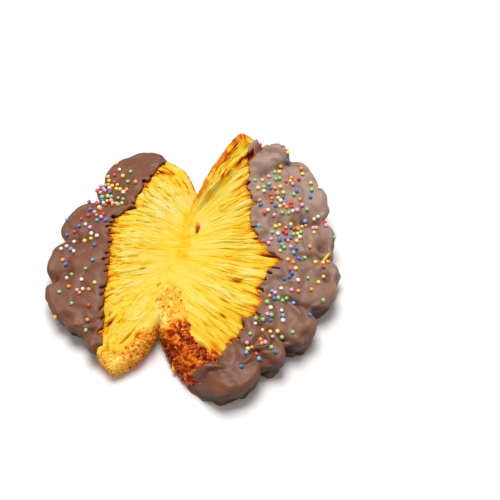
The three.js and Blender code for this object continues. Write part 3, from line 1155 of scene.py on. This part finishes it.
    def roughness(self, skin: Skin) -> Array:
        """How far the crust stands out: sugar grains, blisters and the edges of thin layers.

        Args:
            skin: Skin of the wing.

        Returns:
            Millimetres at each point.
        """
        grain = Grain(self.wing.seed + 20)
        sand = grain.around(skin.points, self.grain) + 0.6 * grain.around(skin.points, self.grain / 2, 5.0)
        blisters = grain.around(skin.points, 4.0, 9.0)
        layers = grain.at(skin.points[:, 2] / 0.9 + 0.4 * blisters, skin.t * 6, skin.s)
        return self.wing.crust_proud + self.grain_depth * sand + 0.3 * blisters + 0.14 * layers

    def build(self, material: bpy.types.Material) -> BakedWing:
        """Build and dress the wing.

        Args:
            material: Finish of the pastry.

        Returns:
            The finished wing.
        """
        skin = self.shaped()
        crust, fold = self.crust(skin), self.fold.over(skin.points)
        proud = crust * self.roughness(skin) + self.fold.height * fold
        skin.points = skin.points + skin.normals * proud[:, None]

        _, toast = self.flakes(skin.s, skin.t)
        # Bare walls take the crust's toasting and a little more: partly browning of the sides, partly
        # painted shade where they face away from the lamp.
        bare_wall = smooth((1 - skin.h) / 0.1) * (1 - crust)
        toast = mix(toast + self.fold.toast * fold, self.baked(skin, crust) + 0.1 * bare_wall,
                    np.maximum(crust, 0.6 * bare_wall))
        piece = bare_object(f"pastry_{self.wing.name}", skin.points, skin.faces)
        # Painted shade and highlight: the hollows between the leaves get more toasting, partly browning and
        # partly shade, and the crests are paler.
        deep = hollows(piece, self.hollow_rounds)
        toast = toast + self.hollow_toast_and_shade * smooth(deep / 0.5) - self.crest_highlight * smooth(-deep / 0.5)
        paint(piece, "toast", clamp01(toast))
        paint(piece, "crust", crust)
        paint(piece, "thick", smooth((skin.t - 0.02) / 0.14))
        paint(piece, "fan", np.stack([skin.s * SPAN, skin.t * LENGTH, skin.h * WING_THICK], 1))
        hand_over(piece, material, ["pastry"])
        return BakedWing(piece, skin, crust, toast)


def drop(ground: BVHTree, place: Array) -> float:
    """Height of what lies under a place in plan.

    Args:
        ground: What is dropped on to, in metres in the part's frame.
        place: X and y in millimetres about the waist.

    Returns:
        Height in millimetres, or 0 on the table.
    """
    x, y = (place[:2] + WAIST[:2]) * MM
    hit = ground.ray_cast(Vector((x, y, HIGH_UP)), DOWN)[0]
    return hit.z / MM if hit else 0.0


def tree_of(*pieces: bpy.types.Object) -> BVHTree:
    """Make a search tree of some pieces, for dropping things on to them.

    Args:
        pieces: The pieces.

    Returns:
        The tree of all their faces, in metres in the part's frame.
    """
    corners: list[Any] = []
    faces: list[Any] = []
    for piece in pieces:
        base = len(corners)
        corners += [vertex.co.copy() for vertex in piece.data.vertices]
        faces += [[base + k for k in face.vertices] for face in piece.data.polygons]
    return BVHTree.FromPolygons(corners, faces)


@dataclass(frozen=True)
class LooseLeaves:
    """Thin leaves of dough that curl up off the sheets, and two that broke off and stuck out."""

    wings: tuple[Wing, ...]
    count: int = 34
    length: tuple[float, float] = (2.0, 6.0)
    width: tuple[float, float] = (0.6, 1.4)
    tilt: tuple[float, float] = (4.0, 13.0)  # degrees that a leaf lifts off
    bend: float = 0.25  # how far it bends sideways
    spread: tuple[float, float] = (-0.88, 0.84)  # the s that leaves lie between
    thickness: float = 0.2
    sunk: float = 0.16  # millimetres that the middle of a leaf lies in the dough
    browned: tuple[float, ...] = (0.12, 0.0, 0.12, 0.24, 0.18, 0.24)  # toasting round a leaf's section, darker at its edges and underside: partly browning, partly painted shade
    steps: int = 8
    # Where the leaves that stick out start and end, and which way they are wide.
    strays: tuple[tuple[tuple[float, float, float], ...], ...] = (
        ((-2.0, -42.6, 4.6), (-2.4, -46.4, 2.2), (0.9, 0.0, 0.0)),
        ((54.6, -0.2, 11.3), (52.4, -3.0, 10.3), (0.48, -0.38, 0.2)),
    )

    def blade(self, line: Array, side: Array) -> tuple[Array, Array]:
        """Make one leaf.

        Args:
            line: Points along its middle.
            side: Vector from its middle to its edge.

        Returns:
            Its points and faces.
        """
        u = np.linspace(-1, 1, len(line))
        taper = np.sqrt(clamp01(1.04 - np.abs(u) ** 3))
        along = line[-1] - line[0]
        up = np.cross(side, along)
        up = up / np.linalg.norm(up) * math.copysign(self.thickness / 2, up[2])
        rows = []
        for height in (1, -1):
            for v in (-1, 0, 1):
                rows.append(line + side * v * taper[:, None] + up * (height + 1.2 * (1 - abs(v))))
        points = np.stack(rows, 1)
        index = np.arange(points.shape[0] * 6).reshape(-1, 6)
        loop = index[:, [0, 1, 2, 5, 4, 3]]
        after = np.roll(loop, -1, 1)
        faces = np.stack([loop[:-1], after[:-1], after[1:], loop[1:]], -1).reshape(-1, 4)
        start, end = loop[0, [[0, 5, 4, 1], [1, 4, 3, 2]]], loop[-1, [[1, 4, 5, 0], [2, 3, 4, 1]]]
        return points.reshape(-1, 3), np.concatenate([faces, start, end])

    def lying(self, wing: Wing, draw: np.random.Generator, ground: BVHTree) -> tuple[Array, Array]:
        """Make one leaf that lies on the sheets.

        Args:
            wing: The wing that it lies on.
            draw: Source of the random draws.
            ground: The pastry.

        Returns:
            Its points and faces.
        """
        u = np.linspace(-0.5, 0.5, self.steps + 1)
        s = draw.uniform(*self.spread)
        t = mix(0.2, wing.dip_line(s) - 0.07, draw.uniform(0, 1) ** 0.7)
        long, wide, tilt = (draw.uniform(*limits) for limits in (self.length, self.width, self.tilt))
        lean, bend = draw.choice([-1, 1]) * math.radians(tilt), draw.normal(0, self.bend)
        line = wing.plan(wing.leaned(s, t, 1.0), t + u * long / LENGTH, -EDGE_ROUND)
        along = line[-1] - line[0]
        across = np.array([-along[1], along[0]]) / np.linalg.norm(along)
        line = line + across * (bend * (1 - (2 * u) ** 2))[:, None]
        heights = [drop(ground, line[j]) for j in (0, self.steps // 2, self.steps)]
        z = np.interp(u, [-0.5, 0, 0.5], heights) + (wide / 2 * math.sin(abs(lean)) - self.sunk)
        side = np.array([*(across * math.cos(lean)), math.sin(lean)]) * wide / 2
        return self.blade(np.concatenate([line, z[:, None]], 1), side)

    def build(self, material: bpy.types.Material, ground: BVHTree) -> bpy.types.Object:
        """Build and dress the leaves as one mesh.

        Args:
            material: Finish of the pastry.
            ground: The pastry that they lie on.

        Returns:
            The piece.
        """
        draw = np.random.default_rng(5)
        blades = [self.lying(self.wings[k % len(self.wings)], draw, ground) for k in range(self.count)]
        way = np.linspace(0, 1, self.steps + 1)[:, None]
        for start, end, side in self.strays:
            blades.append(self.blade(mix(np.array(start), np.array(end), way), np.array(side)))
        base = len(blades[0][0])
        points = np.concatenate([blade for blade, _ in blades])
        faces = np.concatenate([sides + base * k for k, (_, sides) in enumerate(blades)])
        piece = bare_object("loose_leaves", points, faces)
        pale = np.repeat(draw.uniform(0.16, 0.34, len(blades)), base)
        browned = np.tile(self.browned, len(points) // len(self.browned))
        paint(piece, "toast", clamp01(pale + browned + 0.08 * Grain(6).around(points, 1.2)))
        paint(piece, "fan", points)
        hand_over(piece, material, ["pastry"])
        return piece


@dataclass(frozen=True)
class SugarCrystals:
    """Grains of sugar that caramelised on the crust."""

    count: int = 1500
    size: tuple[float, float] = (0.3, 0.65)
    uneven: tuple[float, float] = (0.7, 1.2)  # its sides, as parts of its size
    scatter: float = 0.06  # how far it lies off the crust
    mottle: float = 0.12  # how much its toasting differs from the crust's

    def build(self, material: bpy.types.Material, wings: Sequence[BakedWing]) -> bpy.types.Object:
        """Build and dress the crystals as one mesh.

        Args:
            material: Finish of the pastry.
            wings: The finished wings of pastry.

        Returns:
            The piece.
        """
        draw = np.random.default_rng(8)
        cube = np.array(list(itertools.product((-0.5, 0.5), repeat=3)))
        sides = np.array([[0, 1, 3, 2], [4, 6, 7, 5], [0, 4, 5, 1],
                          [2, 3, 7, 6], [0, 2, 6, 4], [1, 5, 7, 3]])
        points, faces, toast = [], [], []
        for wing in wings:
            skin = wing.skin
            seen = (wing.crust > 0.5) & (skin.s < 0) & (skin.t > 0.1) & (skin.h > 0.03)
            for place in draw.choice(np.flatnonzero(seen), self.count // len(wings), replace=False):
                axes = np.linalg.qr(draw.normal(size=(3, 3)))[0]
                shape = cube * draw.uniform(*self.size) * draw.uniform(*self.uneven, 3)
                faces.append(sides + 8 * len(points))
                off = self.scatter * draw.normal(size=3)
                points.append(shape @ axes.T + skin.points[place] + off)
                baked = wing.toast[place] + draw.normal(0, self.mottle)
                toast.append(np.full(8, np.clip(baked, 0.2, 0.9)))
        flat = np.concatenate(points)
        piece = bare_object("sugar_crystals", flat, np.concatenate(faces))
        piece.data.shade_flat()
        paint(piece, "toast", np.concatenate(toast))
        paint(piece, "crust", np.ones(len(flat)))
        paint(piece, "fan", flat)
        hand_over(piece, material, ["pastry"])
        return piece


# ---------------------------------------------------------------- chocolate
@dataclass(frozen=True)
class ChocolateCoat:
    """The chocolate that a wing's end was dipped in: lumpy on top, folded round the rim, toothed where it
    stops.

    Sizes in pairs are millimetres across the sheets and out along them.
    """

    wing: Wing
    weave: Weave = Weave(round=520, out=64, shoulder=8, wall=20)
    start: float = 0.4  # where along t its skin starts, under the dip line
    crest: tuple[float, float] = (9.0, 11.0)  # soft crests, and the smaller folds and dimples on them
    fold: tuple[float, float] = (5.0, 5.5)
    dimple: tuple[float, float] = (3.4, 3.6)
    rib: tuple[float, float] = (1.5, 8.0)  # ribs where it is thin over the sheets
    facet: tuple[float, float] = (8.0, 8.5)  # facets that tilt like the sheets under them
    edge_thin: float = 0.7  # how much thinner the chocolate is at its edge
    thin_run: float = 0.07  # how far along t that goes
    cleft: float = 2.6  # millimetres from one cleft of the edge to the next
    cleft_depth: float = 3.5
    deepest: float = 4.6  # how far its wall may be drawn in
    voxel: float = 0.38
    cut_reach: float = 90.0  # the cutter reaches out this far
    cut_height: float = 60.0
    painted_sheen: tuple[float, float] = (-40.0, 45.0)  # where the painted sheen starts along the curl, and where it is palest
    hollow_rounds: int = 24  # how far round a point its hollow is judged by

    def top(self, s: Array, t: Array) -> Array:
        """Lumps and pits of the top, and lobes that overlap like shingles towards the front.

        Args:
            s: Places round the fan.
            t: Places out along a sheet.

        Returns:
            Millimetres added to the coat.
        """
        wing, grain = self.wing, Grain(self.wing.seed + 60)
        across, out = s * SPAN, t * LENGTH
        slanted = across / self.crest[0] + out / 16
        crests = 0.9 - np.sqrt(grain.at(slanted, out / self.crest[1], 0.5) ** 2 + 0.02)
        folds = np.sqrt(grain.streaks(across, out, self.fold, 4.5) ** 2 + 0.015) - 0.35
        soft = grain.streaks(across, out, self.dimple, 1.5)
        ribs = grain.streaks(across, out, self.rib, 3.5) * smooth(1 - (t - wing.dip_line(s)) / 0.14)
        rim = smooth((t - 0.72) / 0.2)
        # The sheets under the chocolate leave facets that tilt their own ways.
        wander = 0.35 * grain.at(across / 4, out / 4, 9.5)
        edge, own, along = grain.leaf(across / self.facet[0] + wander, out / self.facet[1] - wander, 7)
        facets = (0.55 * own + 0.7 * along) * smooth(edge / 0.3) + 1.3 * (np.minimum(edge, 0.6) - 0.3)
        lumps = (0.3 + 0.8 * rim) * (crests - 0.65) + 0.4 * folds + 0.35 * soft + 0.7 * ribs + 2.3 * facets
        creases = wing.valleys(wing.turn(s), 1.2)
        lift = wing.lump * lumps + wing.shingle * (self.shingles(s) - 0.45 * creases) * rim
        for pit in wing.pits:
            lift = lift - pit.deep * pit.at(across, out)
        return lift - self.edge_thin * (1 - smooth((t - wing.dip_line(s)) / self.thin_run))

    def shingles(self, s: Any) -> Array:
        """Saw over the lobes: each stands high at its front end and falls to its back end, over the next.

        Args:
            s: Places round the fan.

        Returns:
            About -0.5 to 0.5.
        """
        knots: list[tuple[float, float]] = []
        for one, two in zip(self.wing.lobes, self.wing.lobes[1:]):
            gap = math.copysign(0.9, two.angle - one.angle)
            knots += [(one.angle + gap, 0.5), (two.angle - gap, -0.5)]
        knots.sort()
        return follow(knots, self.wing.turn(s))

    def wall(self, s: Any, t: Any, h: Any) -> Array:
        """How far the wall is drawn in: a rolled shoulder, a folded middle and a thin foot.

        Args:
            s: Places round the fan.
            t: Places out along a sheet.
            h: Heights on the wall.

        Returns:
            Millimetres that the wall is drawn in by.
        """
        grain, wing = Grain(self.wing.seed + 70), self.wing
        along = wing.turn(s) * 0.9
        facets = 0.35 - np.sqrt(grain.at(along / 4.5, 2.2 * h, 0.5) ** 2 + 0.01)
        ledges = grain.at(along / 9, 4.0 * h, 2.5) * bump(h, 0.5, 0.35)
        roll = bump(h, 0.76, 0.14) * (0.35 + 0.35 * grain.at(along / 4, 3.5, 0.5))
        foot = bump(h, 0.0, 0.12) * (1.1 + 0.5 * grain.at(along / 3, 4.5, 0.5))
        seams = wing.valleys(wing.turn(s), 2.2)
        depth = 1.6 * wing.lump + 0.45
        body = smooth((1.02 - h) / 0.25)
        bare = self.edge_thin * (1 - smooth((t - wing.dip_line(s)) / self.thin_run))
        uneven = depth * body * (1.1 * facets + 0.6 * ledges + 1.3 * seams)
        inset = rounded_wall(h) + wing.tucked(h) + uneven - roll - foot + bare
        for pit in wing.pits:
            if pit.t > 0.9:
                hollow = bump(s * SPAN - pit.s * SPAN, 0, pit.wide / 2) * bump(h, 0.85, 0.35)
                inset = inset + 0.8 * pit.deep * hollow
        return np.minimum(inset, self.deepest)

    def toothed(self) -> tuple[Array, Array]:
        """Follow the edge of the chocolate, which bridges the sheets and leaves clefts between them open.

        Returns:
            The s and the t of places along the edge.
        """
        grain = Grain(self.wing.seed + 80)
        s = np.linspace(-1, 1, 1201)
        start = self.wing.dip_line(s)
        across, _ = fan_place(self.wing, s, start)
        count = across / self.cleft + 0.35 * grain.at(across / 4.0, 7.5)
        nearest = np.round(count)
        long = clamp01(0.35 + 0.9 * grain.at(1.7 * nearest, 0.5))
        clefts = smooth((0.26 - np.abs(count - nearest)) / 0.12) * long * smooth((0.97 - start) / 0.1)
        clefts = clefts * smooth((0.84 - np.abs(s)) / 0.05)
        drips = 0.35 * grain.at(across / 1.1, 2.5) - 0.5
        return s, start + (self.cleft_depth * clefts + drips) / LENGTH

    def cutter(self) -> bpy.types.Object:
        """Make the block that keeps only what was dipped, from the table up and from the toothed edge out.

        Returns:
            An object for a Boolean to cut by.
        """
        s, start = self.toothed()
        near = self.wing.plan(s, start)
        turn = np.radians(self.wing.turn(s))
        far = self.cut_reach * np.stack([np.cos(turn), np.sin(turn)], 1)
        # Both ends run on past the coat, so that only its edge is cut.
        first, last = (self.wing.plan(float(s[k]), float(start[k]), 8.0)[None] for k in (0, -1))
        near = np.concatenate([first, near, last])
        far_first, far_last = (far[[k]] + 15 * (far[[k]] - far[[by]]) for k, by in ((0, 1), (-1, -2)))
        far = np.concatenate([far_first, far, far_last])
        count = len(near)
        rows = [np.concatenate([row, np.full((count, 1), z)], 1)
                for z in (0.0, self.cut_height) for row in (near, far)]
        low_near, low_far, high_near, high_far = (np.arange(count) + k * count for k in range(4))
        faces = [np.stack([a[:-1], a[1:], b[1:], b[:-1]], 1) for a, b in (
            (low_near, low_far), (high_far, high_near), (low_far, high_far), (high_near, low_near))]
        ends = np.array([[low_near[0], low_far[0], high_far[0], high_near[0]],
                         [high_near[-1], high_far[-1], low_far[-1], low_near[-1]]])
        quads = np.concatenate([*faces, ends])
        if self.wing.side is Side.LEFT:
            quads = quads[:, ::-1]
        return bare_object(f"dip_{self.wing.name}", np.concatenate(rows), quads)

    def dipped(self) -> tuple[Array, Array]:
        """Dip the wing: the coat's skin is cut along its edge, melted into one body and softened.

        Returns:
            The coat's points and faces.
        """
        s = self.weave.grid()
        t = mix(self.start, 1.0, np.arange(self.weave.out + 1) / self.weave.out)[None, :] + 0 * s
        skin = self.weave.skin(self.wing, COAT, t, self.top(s, t), self.wall)
        rough = bare_object(f"rough_{self.wing.name}", skin.points, skin.faces)
        cutter = self.cutter()
        cut = rough.modifiers.new("dip", "BOOLEAN")
        cut.operation, cut.solver, cut.object = "INTERSECT", "MANIFOLD", cutter
        melt = rough.modifiers.new("melt", "REMESH")
        melt.mode, melt.voxel_size = "VOXEL", self.voxel * MM
        soften = rough.modifiers.new("soften", "SMOOTH")
        soften.factor, soften.iterations = 0.5, 2
        points, mesh = modified(rough)
        grain = Grain(self.wing.seed + 90)
        waves = 0.4 * grain.around(points, 5.0) + 0.14 * grain.around(points, 2.2, 4.0)
        points = points + read(mesh.vertex_normals, "vector") * (self.wing.lump * waves)[:, None]
        points[:, 2] = np.maximum(points[:, 2], 0.0)
        faces = np.array([list(face.vertices) for face in mesh.polygons])
        for scrap in (rough, cutter):
            bpy.data.objects.remove(scrap)
        return points, faces

    def build(self, material: bpy.types.Material) -> bpy.types.Object:
        """Build and dress the coat.

        Args:
            material: Finish of the chocolate.

        Returns:
            The piece.
        """
        points, faces = self.dipped()
        piece = bare_object(f"coat_{self.wing.name}", points, faces)
        # Painted shade: darker in the hollows and where the chocolate faces sideways or down, on its walls.
        facing = read(piece.data.vertex_normals, "vector")
        wall_shade = smooth((0.55 - facing[:, 2]) / 0.7)
        paint(piece, "deep", clamp01(0.6 * smooth(hollows(piece, self.hollow_rounds) / 0.5) + 0.85 * wall_shade))
        # Painted sheen: paler and greyer towards where the wing curls up, as if lit there.
        painted_sheen = clamp01((towards_curl(points) - self.painted_sheen[0]) / (self.painted_sheen[1] - self.painted_sheen[0]))
        paint(piece, "painted_sheen", painted_sheen * (self.wing.curl > 0))
        hand_over(piece, material, [f"chocolate_{self.wing.name}"])
        return piece


@dataclass(frozen=True)
class Pearls:
    """Sugar pearls strewn on the wet chocolate in drifts, half sunk where they fell first."""

    wings: tuple[Wing, ...]
    caught: tuple[float, float, float] = (5.1, 12.9, 10.6)  # one that fell into the hole by the waist
    clear: float = 1.45  # least distance between two middles
    sunk: float = 0.3  # part of a radius that is sunk
    sizes: tuple[float, float] = (0.88, 1.1)  # as parts of PEARL
    squash: tuple[float, float] = (0.94, 1.06)  # along each axis
    tries: int = 60  # to find room for each
    chances: tuple[float, ...] = (0.19, 0.13, 0.14, 0.13, 0.06, 0.14, 0.11, 0.1)  # of each colour in turn

    def places(self, wing: Wing, coat: BVHTree) -> list[tuple[Vector, Vector]]:
        """Strew the pearls of a wing.

        Args:
            wing: The wing.
            coat: Its chocolate.

        Returns:
            Where each pearl touches down, in metres, and which way the chocolate faces there.
        """
        draw = np.random.default_rng(wing.seed + 2)
        placed: list[tuple[Vector, Vector]] = []
        for drift in wing.drifts:
            left = drift.count
            for _ in range(self.tries * drift.count):
                s = drift.s + drift.wide * draw.normal()
                t = drift.t + drift.long * draw.normal()
                if left == 0 or abs(s) > 0.97 or t > 1.0 or t < wing.dip_line(s) + 0.03:
                    continue
                x, y = (wing.plan(wing.leaned(s, t, 1.0), t, COAT - 0.6) + WAIST[:2]) * MM
                hit, normal, _, _ = coat.ray_cast(Vector((x, y, HIGH_UP)), DOWN)
                if hit is None or any((hit - other).length < self.clear * MM for other, _ in placed):
                    continue
                placed.append((hit, normal))
                left -= 1
        return placed

    def build(self, coats: Sequence[bpy.types.Object]) -> list[bpy.types.Object]:
        """Build and dress the pearls, one mesh for each colour.

        Args:
            coats: The chocolate of each wing.

        Returns:
            The pieces.
        """
        draw = np.random.default_rng(12)
        colours = list(PearlColour)
        ball = bpy.data.meshes.new("ball")
        form = bmesh.new()
        bmesh.ops.create_icosphere(form, subdivisions=3, radius=PEARL / 2)
        form.to_mesh(ball)
        form.free()
        corners = np.array([vertex.co for vertex in ball.vertices])
        sides = np.array([list(face.vertices) for face in ball.polygons])
        points: dict[PearlColour, list[Array]] = {colour: [] for colour in colours}
        for wing, coat in zip(self.wings, coats):
            for hit, normal in self.places(wing, tree_of(coat)):
                colour = colours[draw.choice(len(colours), p=self.chances)]
                size = draw.uniform(*self.sizes)
                middle = np.array(hit) / MM - WAIST
                middle = middle + np.array(normal) * size * PEARL / 2 * (1 - self.sunk)
                points[colour].append(corners * size * draw.uniform(*self.squash, 3) + middle)
        points[PearlColour.RED].append(corners + np.array(self.caught))
        made = []
        for colour, balls in points.items():
            faces = np.concatenate([sides + len(corners) * k for k in range(len(balls))])
            piece = bare_object(f"pearls_{colour.name.lower()}", np.concatenate(balls), faces)
            material = PannedSugar(colour).material()
            hand_over(piece, material, ["chocolate_left", "chocolate_right"])
            made.append(piece)
        return made


# ---------------------------------------------------------------- studio
@dataclass(frozen=True)
class Studio:
    """White paper under a broad soft light from above and behind, seen from the front and well above."""

    camera_at: tuple[float, float, float] = (21.15, -255.68, 370.57)
    aim: tuple[float, float, float] = (21.15, 13.56, 0.0)
    lens: float = 85.0
    sensor: float = 36.0
    fill: float = 0.5
    fill_colour: str = "FFF6EC"  # warm walls throw some of the light back
    key: float = 31.0
    key_at: tuple[float, float, float] = (-90.0, 430.0, 1600.0)
    key_size: float = 850.0
    floor: float = 4000.0

    def build(self) -> None:
        """Set up the floor, the light and the camera."""
        scene = bpy.context.scene
        scene.view_settings.view_transform = "Standard"
        half = self.floor / 2
        corners = np.array([[-half, -half, 0], [half, -half, 0], [half, half, 0], [-half, half, 0]])
        paper = bare_object("paper", corners, np.array([[0, 1, 2, 3]]))
        paper.data.materials.append(MattePaper().material())

        world = bpy.data.worlds.new("room")
        world.use_nodes = True
        background = world.node_tree.nodes["Background"]
        background.inputs["Color"].default_value = linear(self.fill_colour)
        background.inputs["Strength"].default_value = self.fill
        scene.world = world

        soft_box = bpy.data.lights.new("soft_box", "AREA")
        soft_box.energy, soft_box.size = self.key, self.key_size * MM
        self.place("soft_box", soft_box, self.key_at, (0.0, 0.0, 0.0))
        camera = bpy.data.cameras.new("camera")
        camera.lens, camera.sensor_width = self.lens, self.sensor
        scene.camera = self.place("camera", camera, self.camera_at, self.aim)

    @staticmethod
    def place(name: str, data: Any, at: Sequence[float], aim: Sequence[float]) -> bpy.types.Object:
        """Put a lamp or a camera in its place.

        Args:
            name: Name of the object.
            data: The lamp or camera.
            at: Its place in millimetres.
            aim: The point that it looks at.

        Returns:
            The object.
        """
        obj = bpy.data.objects.new(name, data)
        bpy.context.scene.collection.objects.link(obj)
        obj.location = Vector(at) * MM
        obj.rotation_euler = (Vector(aim) - Vector(at)).to_track_quat("-Z", "Y").to_euler()
        return obj


# ---------------------------------------------------------------- the cookie
LEFT = Wing(
    side=Side.LEFT,
    seed=11,
    waist_front=(-8.5, -14),
    waist_back=(3.5, 21),
    bow_front=7.6,
    bow_back=5.5,
    lean=0.03,
    rim_drop=3.4,
    curl=0,
    back_sheet=0.6,
    lump=0.22,
    shingle=0.5,
    crust_from=0.44,
    crust_line=((0.46, -1.0), (0.53, -0.99), (0.57, -0.95), (0.74, -0.94), (0.88, -0.97), (1.0, -0.95)),
    crust_proud=0.0,
    crust_heat=0.22,
    plates=0.75,
    stretch=1.0,
    undercut=3.0,
    lobes=(Lobe(244, 54.3, -1), Lobe(221, 49.6, 2.4), Lobe(190, 50.6, 1.6), Lobe(171, 45.4, 4.3),
           Lobe(142, 42.2, 2), Lobe(132, 48.8, 3.5), Lobe(103, 51, 0)),
    dip=((-1, 1.3), (-0.91, 1.02), (-0.78, 0.87), (-0.55, 0.62), (-0.4, 0.53), (-0.15, 0.52), (0.09, 0.61),
         (0.54, 0.59), (0.73, 0.6), (0.92, 0.76), (1, 0.93)),
    scorches=(Scorch(0.87, 0.62, 0.08, 0.12, 0.42), Scorch(0.9, 0.38, 0.07, 0.13, 0.24),
              Scorch(0.11, 0.56, 0.09, 0.07, 0.22), Scorch(-0.03, 0.3, 0.06, 0.1, 0.14),
              Scorch(-0.73, 0.75, 0.1, 0.1, 0.22), Scorch(-0.99, 0.9, 0.05, 0.12, 0.25),
              Scorch(0.4, 0.5, 0.15, 0.07, 0.12), Scorch(0.97, 0.45, 0.06, 0.3, 0.38)),
    slits=(Dent(-0.935, 0.76, 0.6, 9, 0.9), Dent(-0.755, 0.77, 0.6, 8, 0.9),
           Dent(-0.71, 0.12, 1.2, 2.4, 1.8), Dent(-0.9, 0.22, 1.0, 2.6, 1.8),
           Dent(-0.35, 0.24, 0.8, 2.4, 1.4)),
    pits=(Dent(0.55, 0.97, 3, 4, 1.4), Dent(-0.27, 1.0, 2.4, 5, 2.2), Dent(-0.57, 1.0, 3, 4, 1.6),
          Dent(-0.66, 0.97, 3, 5, -0.9), Dent(-0.74, 0.96, 2.4, 5, 1.9), Dent(-0.84, 0.98, 3.4, 6, -0.8),
          Dent(-0.9, 1.0, 2.2, 5, 1.5)),
    drifts=(Drift(0.5, 0.9, 0.07, 0.08, 36), Drift(0.32, 0.78, 0.16, 0.09, 22),
            Drift(0.12, 0.86, 0.12, 0.08, 10), Drift(-0.2, 0.76, 0.3, 0.12, 14),
            Drift(-0.52, 0.8, 0.1, 0.08, 8)),
)
RIGHT = Wing(
    side=Side.RIGHT,
    seed=23,
    waist_front=(-8.5, -14),
    waist_back=(2.5, 18),
    bow_front=6.0,
    bow_back=2.5,
    lean=0.15,
    rim_drop=1.8,
    curl=11,
    back_sheet=2.4,
    lump=0.62,
    shingle=1.7,
    crust_from=0.06,
    crust_line=((0.0, -0.5), (0.12, -0.6), (0.24, -0.69), (0.35, -0.77), (0.44, -0.82), (0.54, -0.88),
                (0.66, -0.89), (0.76, -0.85), (1.0, -0.82)),
    crust_proud=0.45,
    crust_heat=0.56,
    plates=0.0,
    stretch=2.0,
    undercut=2.2,
    lobes=(Lobe(-84, 55.4, 5.2), Lobe(-59, 55.8, 3.5), Lobe(-47, 53.8, 5.4), Lobe(-28, 52.6, 4.5),
           Lobe(-2, 55.7, 1.8), Lobe(15, 54.9, 3.3), Lobe(44, 56.4, 2.2), Lobe(57, 53.6, 0.5),
           Lobe(68, 53.8, 0)),
    dip=((-1, 0.86), (-0.93, 0.81), (-0.76, 0.75), (-0.57, 0.69), (-0.31, 0.64), (-0.11, 0.59),
         (0.03, 0.65), (0.14, 0.53), (0.41, 0.48), (0.67, 0.58), (0.79, 0.72), (0.88, 0.89), (0.93, 1.2),
         (1, 1.3)),
    scorches=(Scorch(0.98, 0.6, 0.03, 0.7, 0.8), Scorch(0.885, 0.62, 0.024, 0.36, 0.7),
              Scorch(0.7, 0.68, 0.03, 0.24, 0.5), Scorch(0.95, 1.0, 0.06, 0.12, 0.2),
              Scorch(-0.6, 0.52, 0.2, 0.14, 0.12), Scorch(-0.85, 0.75, 0.1, 0.16, 0.2),
              Scorch(0.81, 0.32, 0.05, 0.26, 0.14)),
    slits=(Dent(0.5, 0.1, 7.0, 1.3, 3.4), Dent(0.7, 0.7, 0.9, 5, 1.2), Dent(0.06, 0.6, 1.6, 6, 1.2),
           Dent(-0.26, 0.5, 0.7, 2.6, 1.0), Dent(-0.59, 0.55, 0.7, 2.6, 1.0)),
    pits=(Dent(0.31, 0.88, 2.4, 4.6, 2.0), Dent(0.69, 0.78, 1.6, 4, 1.3), Dent(0.14, 0.95, 3.4, 4.5, 2.6),
          Dent(-0.05, 0.97, 3.4, 5, 2.8), Dent(0.04, 0.79, 2, 4, 1.3), Dent(-0.43, 0.98, 2.6, 6, 1.8),
          Dent(-0.7, 0.98, 3, 6, 1.6), Dent(0.5, 0.98, 3, 4, 0.8)),
    drifts=(Drift(0.72, 0.98, 0.08, 0.04, 8), Drift(0.48, 0.72, 0.15, 0.09, 52),
            Drift(0.16, 0.7, 0.1, 0.06, 34), Drift(0.3, 0.92, 0.2, 0.06, 14),
            Drift(-0.3, 0.74, 0.12, 0.06, 24), Drift(-0.6, 0.84, 0.12, 0.07, 22),
            Drift(0.0, 0.88, 0.4, 0.08, 10)),
)


def main() -> None:
    """Build the cookie and the studio round it, and report each piece."""
    Studio().build()
    dough, chocolate = PuffPastry().material(), MilkChocolate().material()
    wings = (LEFT, RIGHT)
    baked = [PastryWing(wing).build(dough) for wing in wings]
    pastry = [wing.piece for wing in baked]
    leaves = LooseLeaves(wings).build(dough, tree_of(*pastry))
    sugar = SugarCrystals().build(dough, baked)
    coats = [ChocolateCoat(wing).build(chocolate) for wing in wings]
    pearls = Pearls(wings).build(coats)
    for piece in (*pastry, leaves, sugar, *coats, *pearls):
        mesh = piece.data
        log.info("%s: %d points, %d faces", piece.name, len(mesh.vertices), len(mesh.polygons))


if __name__ == "__main__":
    main()
